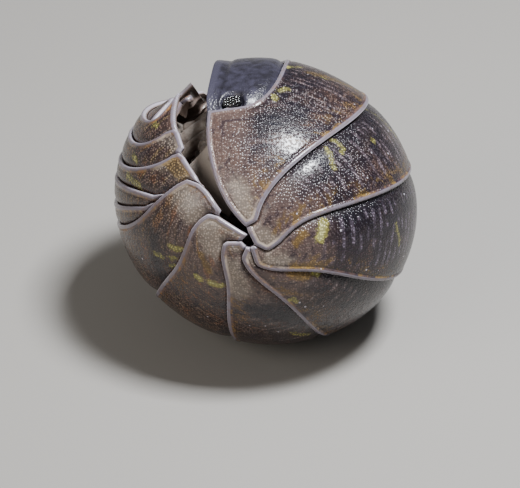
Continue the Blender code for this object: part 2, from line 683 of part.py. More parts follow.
def main():
    """Build the whole animal."""
    clear_scene()
    shell = material("shell", (0.16, 0.11, 0.09), 0.35)
    lens = material("lens", (0.01, 0.01, 0.012), 0.15)
    limb = material("limb", (0.45, 0.42, 0.40), 0.45)
    gill = material("gill", (0.62, 0.60, 0.57), 0.5)
    for name in PLATES:
        segment(name, shell)
    head(shell)
    telson(shell)
    for side in (1, -1):
        eye(side, lens)
        uropod(side, shell)
        antenna(side, limb)
        gills(side, gill)
        for number in range(1, len(LEG_ROOT_TURNS) + 1):
            leg(side, number, limb)


main()
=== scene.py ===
"""Looks of a pill woodlouse rolled into a ball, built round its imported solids.

Places are given the way the animal is rolled: a lateral angle from the midline towards a flank, left
positive, and a turn round the roll axis, from the middle of the slit between head and tail, over the
head, to the tail. Angles are in degrees, and lengths in metres, or in millimetres where a name says so.
"""
import math

import bmesh
import bpy
import numpy as np
from mathutils import Matrix, Vector


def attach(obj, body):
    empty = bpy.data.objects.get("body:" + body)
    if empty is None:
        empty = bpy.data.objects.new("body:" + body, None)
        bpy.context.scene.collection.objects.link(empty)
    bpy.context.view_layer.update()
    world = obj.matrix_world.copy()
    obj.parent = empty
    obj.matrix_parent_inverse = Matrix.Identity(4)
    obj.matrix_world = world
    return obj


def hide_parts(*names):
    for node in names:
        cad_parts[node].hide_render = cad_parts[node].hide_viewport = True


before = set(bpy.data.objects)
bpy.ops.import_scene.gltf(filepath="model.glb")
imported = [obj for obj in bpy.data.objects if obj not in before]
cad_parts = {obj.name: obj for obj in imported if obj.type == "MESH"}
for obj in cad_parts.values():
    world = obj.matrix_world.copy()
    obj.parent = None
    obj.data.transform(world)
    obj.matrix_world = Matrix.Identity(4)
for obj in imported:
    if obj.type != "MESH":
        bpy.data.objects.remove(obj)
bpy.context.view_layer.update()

bl_info = {
    "name": "Rolled-up pill woodlouse",
    "version": (1, 0, 0),
    "blender": (4, 5, 0),
    "location": "3D View > Sidebar > Woodlouse",
    "description": "Dresses the packed solids of a pill woodlouse rolled into a ball",
    "category": "Object",
}

MM = 0.001

# The ball, as in the solids, in millimetres and degrees
RADIUS = 4.0
OVAL = 0.038            # share by which the ball is longer one way and shorter across it
OVAL_TURN = 142.6
AXIS_YAW = 7.2
AXIS_TILT = 18.7
SLIT_AZIMUTH = 124.3
FLAT_DEPTH = 0.17       # how much the resting flats take off the ball
RIM = 0.12              # thickness of a plate at its free rim

# The tail's right half: how much deeper it lies, and the turns and lateral angles where that comes and goes
TAIL_DIP = 0.055
DIP_TURNS = (338.0, 347.0, 362.0, 370.0)
DIP_LATERALS = (-50.0, -25.0, -9.0, 3.0)

# Hind margins: station of the corner, last station, lateral angle of the corner, turn on the midline,
# even bow, sweep at the corner, power of the sweep, and lateral angle and turn of the side lobe's end
PLATES = {
    "pereonite_1": (16, 20, 81.0, 75.0, -30.0, 10.0, 16, (84.0, 24.0)),
    "pereonite_2": (16, 20, 81.6, 107.0, -12.0, 55.0, 16, (87.3, 150.0)),
    "pereonite_3": (16, 20, 79.0, 149.0, -4.0, 53.0, 10, (87.3, 198.0)),
    "pereonite_4": (16, 20, 82.0, 187.5, -7.0, 53.0, 8, (87.3, 233.0)),
    "pereonite_5": (16, 20, 80.0, 222.6, 15.0, 58.0, 16, (87.3, 297.0)),
    "pereonite_6": (16, 20, 70.9, 259.0, 23.0, 56.0, 14, (87.3, 25.0)),
    "pereonite_7": (16, 17, 57.6, 292.0, 16.0, 44.0, 7, (74.5, 349.5)),
    "pleonite_1": (12, 12, 43.2, 300.5, 10.5, 0.0, 3, None),
    "pleonite_2": (13, 13, 46.8, 311.3, 8.7, 0.0, 3, None),
    "pleonite_3": (12, 16, 44.1, 319.0, 0.0, 31.5, 1.25, (57.6, 350.6)),
    "pleonite_4": (9, 12, 32.6, 330.0, 0.0, 24.5, 1.5, (44.0, 353.0)),
    "pleonite_5": (9, 9, 12.7, 339.5, 0.0, 19.4, 2.4, None),
}
WARMTH = {"pereonite_1": 0.35, "pereonite_2": 0.2, "pereonite_3": 0.0, "pereonite_4": 0.4, "pereonite_5": 0.5,
          "pereonite_6": 0.8, "pereonite_7": 0.9}   # how brown a plate is, and 1 for the rest
COVERS = {name: before for name, before in zip(list(PLATES)[1:], list(PLATES))}
SECOND_COVER = {"pleonite_2": (12, "pereonite_7"), "pleonite_3": (13, "pereonite_7")}
ARCHED = ("pleonite_3", "pleonite_4")
LAST_REACH = 25.0       # how far the last plate's lobes reach out beside the telson
CROWDING = 1.35         # how much closer the stations lie towards a corner
CORNER_REACH = 1.8      # stations on each side over which a corner is rounded
CORNER_EASE = 0.8
NOTCH = (20.0, 20.0, 33.5, 3)   # turn of the head's notch, half length, half width and squareness
NOTCH_STATION = 10
NOTCH_END = 107.0
SIDE_START_TURN = 11.2
SIDE_HOLLOW = 1.4
SIDE_END = (83.0, 17.0)
SIDE_EASE = 1.6
SIDE_BEND = 12

# Grid of a plate, and its section from front to hind margin, in millimetres
COLUMNS = 150           # on each side of the midline
TUCK_ROWS = 6
PLATE_ROWS = 34
RIM_STEPS = (0.30, 0.25, 0.21, 0.18, 0.155, 0.13, 0.10, 0.07, 0.045, 0.025, 0.01, 0.0)
RIM_SQUEEZE = 0.45      # share of a narrow place's length that the rim's rows may take
TUCK_ARC = 7.0          # degrees that a plate reaches under the one before it
LEAST_ARC = 0.02
LEAST_ANGLE = 1e-4      # radians between two directions, so that they can be told apart
MARGIN_POINTS = 400
END_POINTS = 20
POINTS_AT_ONCE = 60     # points of a line that distances are taken to in one go
SHEET = 0.26            # thickness of a plate away from its rim
SHEET_EDGE = (0.1, 0.4)       # distances from the margin between which it thickens
SHEET_SHARE = (-0.3, 0.2)     # and shares of the way along the plate
STEP = 0.135            # how far a plate lies under the rim before it
STEP_POWER = 8
ROUND = 0.05            # radius of a rim's rounded edge
BEAD = (0.018, 0.075, 0.05)   # height, distance from the margin and width of the rim's bead
GROOVE = (0.016, 0.165, 0.025)
FLARE = 0.09            # how far the first plate's hind rim stands off on the midline
LOBE_LATERALS = (50.0, 67.0)
FIRST_LOBE_TURNS = (24.0, 40.0)

# Marks on the plates: kind, two ends as lateral angle and turn, and radius in millimetres
# The pale lobe ends are partly painted light: on the second, fifth and sixth plates they are drawn bigger, to
# lighten lobes that get less light
MARKS = {
    "pereonite_1": (
        ("pale", (68.0, 21.0), (79.5, 36.0), 0.27), ("dark", (42.0, 38.5), (33.0, 52.0), 0.38),
        ("yellow", (26.7, 40.2), (27.2, 40.9), 0.10), ("yellow", (22.4, 41.9), (20.1, 44.4), 0.09),
        ("yellow", (2.4, 41.2), (-3.8, 46.9), 0.07), ("ochre", (0.7, 50.5), (-2.9, 56.1), 0.15),
        ("ochre", (-3.9, 58.6), (-8.2, 68.3), 0.15), ("yellow", (1.5, 53.0), (-1.0, 58.0), 0.05)),
    "pereonite_2": (
        ("yellow", (33.9, 71.3), (34.4, 77.8), 0.06), ("yellow", (34.4, 77.8), (36.6, 78.3), 0.05),
        ("yellow", (39.7, 71.9), (44.3, 80.7), 0.08), ("yellow", (18.4, 84.8), (18.3, 85.4), 0.08),
        ("yellow", (-0.5, 76.9), (-5.1, 92.7), 0.05), ("ochre", (22.5, 99.2), (20.4, 105.6), 0.10),
        ("ochre", (40.1, 99.5), (37.8, 101.9), 0.11), ("dark", (47.1, 60.4), (26.4, 65.6), 0.22),
        ("pale", (84.5, 91.5), (80.7, 124.9), 0.28)),
    "pereonite_3": (
        ("yellow", (60.3, 108.8), (62.7, 119.4), 0.15), ("yellow", (24.9, 121.4), (20.9, 131.0), 0.06),
        ("pale", (80.0, 163.1), (75.0, 151.9), 0.22), ("ochre", (71.0, 154.0), (64.2, 146.1), 0.11),
        ("ochre", (72.1, 123.7), (68.5, 112.2), 0.13), ("ochre", (30.0, 146.0), (26.0, 147.0), 0.09)),
    "pereonite_4": (
        ("yellow", (61.1, 151.9), (59.5, 152.6), 0.08), ("yellow", (59.4, 181.3), (57.6, 180.0), 0.08),
        ("ochre", (69.0, 163.0), (63.0, 158.0), 0.14), ("pale", (83.0, 215.0), (83.0, 230.0), 0.20)),
    "pereonite_5": (
        ("pale", (76.4, 245.0), (67.5, 223.7), 0.31), ("dark", (59.1, 213.0), (50.6, 191.8), 0.24),
        ("yellow", (37.2, 196.2), (28.5, 190.6), 0.07), ("pale", (84.0, 280.9), (87.0, 288.0), 0.14)),
    "pereonite_6": (
        ("pale", (74.0, 321.3), (76.2, 288.8), 0.39), ("ochre", (69.7, 280.5), (68.3, 258.0), 0.10),
        ("pale", (74.4, 331.9), (83.8, 339.5), 0.18),
        ("yellow", (61.9, 261.9), (62.4, 258.0), 0.10), ("yellow", (64.0, 251.6), (65.9, 241.0), 0.10)),
    "pereonite_7": (
        ("pale", (57.4, 333.6), (67.0, 325.0), 0.36), ("dark", (48.7, 295.4), (39.6, 264.5), 0.24),
        ("yellow", (47.3, 284.5), (50.8, 282.5), 0.07), ("yellow", (56.4, 289.7), (61.3, 286.3), 0.09),
        ("yellow", (54.7, 280.7), (56.5, 279.6), 0.07), ("yellow", (52.0, 275.3), (53.5, 273.4), 0.07)),
    "pleonite_3": (
        ("ochre", (42.8, 341.8), (53.5, 343.6), 0.22), ("pale", (40.0, 337.0), (54.0, 345.0), 0.22),
        ("yellow", (26.7, 319.1), (37.0, 318.8), 0.10)),
    "pleonite_4": (
        ("yellow", (25.2, 328.0), (28.1, 327.6), 0.09), ("pale", (30.0, 344.0), (41.0, 350.0), 0.2)),
    "pleonite_5": (("yellow", (23.1, 345.1), (25.8, 345.5), 0.07),),
}
KINDS = ("yellow", "ochre", "pale", "dark")
MARK_POINTS = 12
MARK_SOFTNESS = {"yellow": 0.14, "ochre": 0.16, "pale": 0.3, "dark": 0.36}   # width of a mark's edge

# What the cuticle's material works with
SIDE_SEEDS = (3.7, 1.3)       # apart from plate to plate, and from left to right
STREAK_STRETCH = 0.25         # a streak is drawn this much of its width along the plate
DOTS = 2.3                    # small white dots, to a millimetre
GRAIN_DISORDER = 0.7
RIM_SOFTNESS = 0.03
RIPPLE = 0.4
# Noises: where each is read, forms to a millimetre, detail and distortion
NOISES = {
    "mottle": ("sheet", 1.5, 5.0, 0.8), "blotch": ("sheet", 3.8, 3.0, 0.7), "gap": ("sheet", 2.4, 2.0, 0.0),
    "speck": ("fine", 11.0, 2.0, 0.0), "frayed": ("fine", 7.0, 3.0, 0.0), "ripple": ("fine", 9.0, 2.0, 0.0),
}
# Sums: a value, what it is multiplied by, and what is added to that
SUMS = {
    # Painted shade in the net between grains is laid on less strongly on the side lobes
    "shade": ("warmth", 0.22, "mottle"), "back": ("lobe", -1.0, 1.0), "furrow_shade_share": ("lobe", -0.28, 0.8),
    **{"ragged_" + kind: ("frayed", 0.9, kind) for kind in KINDS},
}
# Smooth steps: a value, where the step is 0 and where it is 1
STEPS = {
    "behind_front": ("share", 0.03, 0.2), "before_hind": ("share", 0.9, 0.7), "fore": ("share", 0.75, 0.1),
    "aft": ("share", 0.35, 0.7), "near_rim": ("edge", 0.75, 0.35), "off_rim": ("edge", 0.13, 0.2),
    # The step at a rim's very edge masks a painted highlight line along it
    "lip": ("edge", 0.04, 0.0), "cool": ("warmth", 0.9, 0.2), "warm": ("warmth", 0.2, 0.8),
    "warmest": ("warmth", 0.7, 1.0), "tone": ("shade", 0.42, 0.74), "streaked": ("waves", 0.4, 0.95),
    "patchy": ("gap", 0.40, 0.58), "banded": ("blotch", 0.52, 0.60), "rusty": ("blotch", 0.56, 0.64),
    "bruised": ("blotch", 0.44, 0.36), "stained": ("blotch", 0.42, 0.7), "cloudy": ("mottle", 0.35, 0.6),
    "light": ("mottle", 0.45, 0.5), "freckled": ("speck", 0.60, 0.66), "middle": ("yellow", 0.62, 0.9),
    # The step that is 1 between grains masks painted shade in the net between them
    "dotted": ("dots", 0.085, 0.05), "crest": ("grains", 0.58, 0.12), "furrow": ("grains", 0.12, 0.58),
    "inside": ("under", 0.3, 0.9), "broken_yellow": ("ragged_yellow", 0.80, 1.16),
    "broken_ochre": ("ragged_ochre", 0.80, 1.2), "broken_pale": ("ragged_pale", 0.7, 1.3),
    "broken_dark": ("ragged_dark", 0.7, 1.25),
}
# Colours laid over the ground colour, in order: each with its strength and the values that multiply it
LAYERS = (
    # The slate colour is partly the cuticle's own, and partly a painted bluish sheen
    ("lobe", 0.7, "warmest", "cloudy"), ("lobe", 0.75, "lobe"), ("slate_and_sheen", 0.85, "fore", "back", "cool"),
    ("thread", 0.8, "streaked", "patchy", "behind_front", "before_hind", "back"),
    ("ochre", 0.55, "near_rim", "aft", "banded"), ("rust", 0.55, "rusty", "warm"), ("plum", 0.65, "bruised"),
    # The dark marks take the slate colour, with its painted bluish sheen
    ("pale", 0.25, "freckled", "lobe"), ("slate_and_sheen", 0.8, "broken_dark"), ("pale", 0.85, "broken_pale"),
    ("ochre", 0.7, "broken_ochre"), ("yellow", 0.85, "broken_yellow"),
    # Painted shade: the net between the grains is darkened, as shade in the furrows
    ("cream", 0.6, "broken_yellow", "middle"), ("furrow_shade", 1.0, "furrow", "off_rim", "furrow_shade_share"),
    # Small white dots, then the rims, then a painted highlight line along each rim's very edge
    ("rim_lip", 0.8, "dotted", "light"), ("rim", 1.0, "margin"), ("rim_lip", 0.6, "lip"),
    ("lining", 1.0, "inside"),
)
# How much of the grain is worn off where a value is 1
WORN = {"margin": 0.9, "under": 1.0, "broken_pale": 0.75, "lobe": 0.35}


def hex_colour(text):
    """Linear colour of an sRGB hex value."""
    parts = [int(text[k:k + 2], 16) / 255 for k in (1, 3, 5)]
    return tuple(c / 12.92 if c <= 0.04045 else ((c + 0.055) / 1.055) ** 2.4 for c in parts)


def colour_property(name, text, words):
    """A colour that a user can change, with its default as a hex value."""
    return bpy.props.FloatVectorProperty(name=name, description=words, subtype="COLOR", size=3, min=0.0,
                                         max=1.0, default=hex_colour(text))


def length_property(name, default, words, least=0.0):
    """A length that a user can change, with its default and its least value in millimetres."""
    return bpy.props.FloatProperty(name=name, description=words, default=default * MM, min=least * MM,
                                   unit="LENGTH", precision=6)


def directions(lateral, turn):
    """Unit vectors of places on the ball, in the animal's own axes."""
    a, b = np.radians(lateral), np.radians(turn)
    return np.stack([np.sin(a), np.cos(a) * np.cos(b), np.cos(a) * np.sin(b)], axis=-1)


def roll_frame():
    """World directions of the left flank, the level way across it, and the way up."""
    yaw, tilt = math.radians(AXIS_YAW), math.radians(AXIS_TILT)
    left = np.array([-math.sin(yaw) * math.cos(tilt), -math.cos(yaw) * math.cos(tilt), math.sin(tilt)])
    level = np.array([math.cos(yaw), -math.sin(yaw), 0.0])
    return left, level, np.cross(left, level)


LEFT, LEVEL, UPPER = roll_frame()


def turned(angle):
    """World direction across the roll axis at a turn."""
    a = math.radians(SLIT_AZIMUTH - angle)
    return LEVEL * math.cos(a) + UPPER * math.sin(a)


LONG_WAY, SHORT_WAY = turned(OVAL_TURN), turned(OVAL_TURN - 90.0)
LOW = np.array([LEFT[2], (1 + OVAL) * LONG_WAY[2], (1 - OVAL) * SHORT_WAY[2]])
CENTRE = np.array([0.0, 0.0, RADIUS * np.linalg.norm(LOW) - FLAT_DEPTH])
FRAME_WIDTH = 14.13             # millimetres across the picture at the ball
FRAME_SHIFT = (0.158, 1.168)    # how far the ball's centre lies right of the picture's middle, and above it


def tail_dip(ways):
    """Share of the distance from the centre that is kept: the tail's right half lies a little deeper."""
    first, full, last, end = DIP_TURNS
    turn = np.degrees(np.arctan2(ways[..., 2], ways[..., 1])) % 360.0
    turn = np.where(turn < end - 360.0, turn + 360.0, turn)
    lateral = np.degrees(np.arctan2(ways[..., 0], np.hypot(ways[..., 1], ways[..., 2])))
    along = eased(turn, first, full) * (1 - eased(turn, last, end))
    right, deep, shallow, left = DIP_LATERALS
    return 1 - TAIL_DIP * along * eased(lateral, right, deep) * (1 - eased(lateral, shallow, left))


def placed(ways, radii):
    """World places in metres of directions at distances in millimetres, kept above the floor."""
    ways = np.asarray(ways, float)
    radii = np.asarray(radii, float) * tail_dip(ways)
    flat = ways[..., 1:2] * turned(0.0) + ways[..., 2:3] * turned(90.0)
    along, across = flat @ LONG_WAY, flat @ SHORT_WAY
    flat = along[..., None] * LONG_WAY * (1 + OVAL) + across[..., None] * SHORT_WAY * (1 - OVAL)
    points = CENTRE + (ways[..., 0:1] * LEFT + flat) * radii[..., None]
    points[..., 2] = np.maximum(points[..., 2], 0.0)
    return points * MM


def roll_points(side, out, turn):
    """World places at distances to the left along the roll axis, distances out from it, and turns."""
    a = np.radians(turn)
    ways = np.stack([np.asarray(side, float), out * np.cos(a), out * np.sin(a)], axis=-1)
    return placed(ways, np.ones(ways.shape[:-1]))


def slerped(a, b, share):
    """Directions part of the way from some to others, or beyond them, on the ball."""
    cosine = np.clip(np.sum(a * b, axis=-1), -1.0, 1.0)
    arc = np.maximum(np.arccos(cosine), LEAST_ANGLE)
    way = (np.sin((1 - share) * arc)[..., None] * a + np.sin(share * arc)[..., None] * b)
    return way / np.linalg.norm(way, axis=-1, keepdims=True)


def eased(value, start, end):
    """Smooth step from 0 at start to 1 at end."""
    t = np.clip((np.asarray(value, float) - start) / (end - start), 0.0, 1.0)
    return t * t * (3 - 2 * t)


def hill(value, height, place, width):
    """Smooth hill over a place, which is nearly gone two widths away."""
    return height * np.exp(-((value - place) / width) ** 2)


def sharp_hind(name, station):
    """Directions of a plate's hind margin at stations of the left half, with a sharp corner."""
    corner, last, side, mid, bow, sweep, power, tip = PLATES[name]
    share = np.minimum(station / corner, 1.0)
    t = rise = share
    if name in ARCHED:
        t, rise = np.sin(np.pi / 2 * share), 1 - np.cos(np.pi / 2 * share)
    elif name != "pleonite_5":
        t = rise = 1 - (1 - share) ** CROWDING
    lateral = side * t
    if name == "pleonite_5":
        lateral = lateral + LAST_REACH * (t - t ** 4)
    edge = directions(lateral, mid + bow * t ** 2 + sweep * rise ** power)
    if last == corner:
        return edge
    beyond = np.clip((station - corner) / (last - corner), 0.0, 1.0)
    return slerped(edge, np.broadcast_to(directions(*tip), edge.shape), beyond)


def hind(name, station):
    """The same margin with its corner rounded off."""
    corner, last = PLATES[name][:2]
    here = sharp_hind(name, station)
    if last == corner:
        return here
    window = eased(CORNER_REACH - np.abs(station - corner), 0.0, CORNER_EASE)
    reach = np.minimum(1.0, last - station)
    around = sharp_hind(name, station - reach) + sharp_hind(name, station + reach)
    soft = here * 2 + around
    soft /= np.linalg.norm(soft, axis=-1, keepdims=True)
    return slerped(here, soft, window)


def notch_outline(angle):
    """Lateral angle and turn of the head's notch, at angles round it in radians."""
    turn, length, width, power = NOTCH
    cosine = np.cos(angle)
    way = np.sign(cosine) * np.abs(cosine) ** (2 / power)
    return width * np.abs(np.sin(angle)) ** (2 / power), turn + length * way


def first_front(station):
    """Front margin of the first plate: round the head's notch, and then along the free side."""
    last = PLATES["pereonite_1"][1]
    round_head = directions(*notch_outline(np.radians(NOTCH_END * station / NOTCH_STATION)))
    start = notch_outline(math.radians(NOTCH_END))[0]
    share = np.clip((station - NOTCH_STATION) / (last - NOTCH_STATION), 0.0, 1.0)
    u = 1 - (1 - share) ** SIDE_EASE
    turn = SIDE_START_TURN * (1 - u) ** SIDE_HOLLOW + SIDE_END[1] * u ** SIDE_BEND
    side = directions(start + (SIDE_END[0] - start) * u, turn)
    return np.where((station <= NOTCH_STATION)[..., None], round_head, side)


def front(name, station):
    """Front margin of a plate's visible part, where the plate before it ends."""
    if name == "pereonite_1":
        return first_front(station)
    edge = hind(COVERS[name], station)
    if name in SECOND_COVER:
        first, second = SECOND_COVER[name]
        edge = slerped(edge, hind(second, station), eased(station, first, first + 1.0))
    return edge


def mirrored(ways, side):
    """Directions of the left half, turned to the right half where side is negative."""
    flip = np.ones_like(ways)
    flip[..., 0] = np.where(side < 0, -1.0, 1.0)
    return ways * flip


def left_half(ways):
    """Directions turned to the left half, where margins and marks are given."""
    return np.concatenate([np.abs(ways[:, :1]), ways[:, 1:]], axis=1)


def nearest(points, line):
    """Distance from each point to a dense row of points."""
    found = np.full(len(points), np.inf)
    for start in range(0, len(line), POINTS_AT_ONCE):
        gaps = np.linalg.norm(points[:, None] - line[None, start:start + POINTS_AT_ONCE], axis=2)
        found = np.minimum(found, gaps.min(axis=1))
    return found


def slab(name, columns, rows, shape, surface):
    """A closed sheet: a grid laid out by shape, and its inside extruded from it.

    shape takes the grid's places across and along, from 0 to 1, and returns outer and inner points, and
    the named values that the material reads. The value named under is 1 on the inside.
    """
    bm = bmesh.new()
    bmesh.ops.create_grid(bm, x_segments=columns, y_segments=rows, size=1.0)
    places = np.array([v.co[:2] for v in bm.verts]) / 2 + 0.5
    outer, inner, values = shape(places[:, 0], places[:, 1])
    depth = bm.verts.layers.float_vector.new("inner")
    under = bm.verts.layers.float.new("under")
    layers = [(bm.verts.layers.float.new(key), value) for key, value in values.items()]
    for k, vert in enumerate(bm.verts):
        vert.co = outer[k]
        vert[depth] = inner[k]
        for layer, value in layers:
            vert[layer] = value[k]
    grown = bmesh.ops.extrude_face_region(bm, geom=bm.faces[:])
    for vert in grown["geom"]:
        if isinstance(vert, bmesh.types.BMVert):
            vert.co = vert[depth]
            vert[under] = 1.0
    bmesh.ops.recalc_face_normals(bm, faces=bm.faces[:])
    bm.verts.layers.float_vector.remove(bm.verts.layers.float_vector["inner"])
    return finished(name, bm, surface)


def in_scene(name, data):
    """Object of some data, at the origin of the scene."""
    thing = bpy.data.objects.new(name, data)
    bpy.context.collection.objects.link(thing)
    return thing


def finished(name, bm, surface):
    """Object of a bmesh, at the origin, with smooth faces."""
    mesh = bpy.data.meshes.new(name)
    bm.to_mesh(mesh)
    bm.free()
    mesh.materials.append(surface)
    mesh.shade_smooth()
    return in_scene(name, mesh)


def ride(thing, slot, *nodes):
    """Tie a piece to the model and hide the solids it stands for; its finish slot is not used."""
    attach(thing, "root")
    if nodes:
        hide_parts(*nodes)


def plate_rows(arc, free_front):
    """Share of the way from front to hind margin of every row, for arcs in millimetres."""
    squeeze = np.minimum(1.0, RIM_SQUEEZE * arc / RIM_STEPS[0])
    rim = 1 - np.outer(squeeze, RIM_STEPS) / arc[:, None]
    if free_front:
        rows = PLATE_ROWS + TUCK_ROWS - len(RIM_STEPS)
        start = 1 - rim[:, ::-1]
    else:
        rows = PLATE_ROWS
        tuck = np.radians(TUCK_ARC) * RADIUS / arc
        start = -np.outer(tuck, np.linspace(1.0, 0.0, TUCK_ROWS + 1)[:-1])
    low = start[:, -1:] if free_front else np.zeros((len(arc), 1))
    middle = low + (rim[:, :1] - low) * np.linspace(0.0, 1.0, rows + 1)[None, :-1]
    if free_front:
        middle = middle[:, 1:]
    return np.concatenate([start, middle, rim], axis=1)


def rim_relief(edge):
    """Height of a plate's surface by distance from its free margin: rounded edge, flat bead, groove."""
    near = np.clip(ROUND - edge, 0.0, ROUND)
    drop = ROUND - np.sqrt(ROUND ** 2 - near ** 2)
    return hill(edge, *BEAD) - hill(edge, *GROOVE) - drop


def mark_fields(name, ways):
    """Values of the marks' kinds at places: 0.5 on a mark's outline and more inside."""
    fields = {kind: np.zeros(len(ways)) for kind in KINDS}
    for kind, start, end, radius in MARKS.get(name, ()):
        a = np.broadcast_to(directions(*start), (MARK_POINTS, 3))
        b = np.broadcast_to(directions(*end), (MARK_POINTS, 3))
        line = slerped(a, b, np.linspace(0, 1, MARK_POINTS))
        place = ways if start[0] < 0 or end[0] < 0 else left_half(ways)
        gap = nearest(place * RADIUS, line * RADIUS)
        value = np.clip(0.5 + (radius - gap) / (2 * MARK_SOFTNESS[kind]), 0.0, 1.0)
        fields[kind] = np.maximum(fields[kind], value)
    return fields


def lobe_weight(name, ways, lateral):
    """How far a place belongs to a side lobe: 0 on the back, 1 on the lobe."""
    weight = eased(np.abs(lateral), *LOBE_LATERALS)
    if name == "pereonite_1":
        turn = np.degrees(np.arctan2(ways[:, 2], ways[:, 1]))
        weight = np.maximum(weight, 1 - eased(turn, *FIRST_LOBE_TURNS))
    return weight


def plate_shape(name, order):
    """Layout of one plate of the back, from its tucked front to its free hind rim."""
    last = PLATES[name][1]
    free_front = name == "pereonite_1"
    count = plate_rows(np.ones(1), free_front).shape[1]

    def shape(x, y):
        side = 2 * x - 1
        station = np.abs(side) * last
        a, b = front(name, station), hind(name, station)
        arc = np.maximum(np.arccos(np.clip(np.sum(a * b, axis=1), -1, 1)) * RADIUS, LEAST_ARC)
        share = plate_rows(arc, free_front)[np.arange(len(x)), np.rint(y * (count - 1)).astype(int)]
        ways = mirrored(slerped(a, b, share), side)
        line = np.linspace(0.0, last, MARGIN_POINTS)
        margins = [hind(name, line)] + ([first_front(line)] if free_front else [])
        ends = slerped(np.broadcast_to(front(name, line[-1:]), (END_POINTS, 3)),
                       np.broadcast_to(hind(name, line[-1:]), (END_POINTS, 3)), np.linspace(0, 1, END_POINTS))
        edge = nearest(left_half(ways) * RADIUS, np.concatenate(margins + [ends]) * RADIUS)
        inside = np.clip(share, 0.0, 1.0)
        sunk = 0.0 if free_front else STEP * (1 - inside) ** STEP_POWER
        height = rim_relief(edge) - sunk
        if free_front:
            height = height + FLARE * inside ** 4 * np.clip(ways[:, 1] ** 2 + ways[:, 2] ** 2, 0, 1) ** 3
        thick = RIM + (SHEET - RIM) * eased(edge, *SHEET_EDGE) * eased(share, *SHEET_SHARE)
        lateral = np.degrees(np.arcsin(np.clip(ways[:, 0], -1, 1)))
        seed = order * SIDE_SEEDS[0] + np.where(side < 0, SIDE_SEEDS[1], 0.0)
        values = {"edge": edge, "share": share, "across": np.radians(lateral) * RADIUS, "along": share * arc,
                  "lobe": lobe_weight(name, ways, lateral), "seed": seed,
                  "warmth": np.full(len(x), WARMTH.get(name, 1.0)), **mark_fields(name, ways)}
        return placed(ways, RADIUS + height), placed(ways, RADIUS - sunk - thick), values

    return count, shape


def add_node(tree, kind, inputs=None, **settings):
    """Add a shader node; an input given as a socket is linked, and any other is set."""
    made = tree.nodes.new("ShaderNode" + kind)
    for key, value in settings.items():
        setattr(made, key, value)
    for key, value in (inputs or {}).items():
        if isinstance(value, bpy.types.NodeSocket):
            tree.links.new(value, made.inputs[key])
        else:
            made.inputs[key].default_value = value
    return made


def new_material(name):
    """A material with its shader, both empty of links, its tree and its shader node."""
    made = bpy.data.materials.new(name)
    made.use_nodes = True
    return made, made.node_tree, made.node_tree.nodes["Principled BSDF"]


def millimetres(tree):
    """A piece's own coordinates in millimetres."""
    spot = add_node(tree, "TexCoord").outputs["Object"]
    return add_node(tree, "Mapping", {"Vector": spot, "Scale": (1 / MM, 1 / MM, 1 / MM)}).outputs[0]


def layered(tree, colours, values, base, layers):
    """Colour of a base with others laid over it, each by a strength and the values that multiply it."""
    found = colours[base]
    for over, strength, *factors in layers:
        mask = strength
        for factor in factors:
            mask = add_node(tree, "Math", {0: values[factor], 1: mask}, operation="MULTIPLY").outputs[0]
        found = add_node(tree, "Mix", {0: mask, 6: found, 7: colours[over]}, data_type="RGBA").outputs[2]
    return found


def dressed(tree, shader, colour, relief, strength, depth, look):
    """Give a shader its colour, its relief with a strength and a depth in metres, and its other values."""
    bump = add_node(tree, "Bump", {"Strength": strength, "Distance": depth, "Height": relief})
    tree.links.new(colour, shader.inputs["Base Color"])
    tree.links.new(bump.outputs[0], shader.inputs["Normal"])
    for key, value in look.items():
        shader.inputs[key].default_value = value


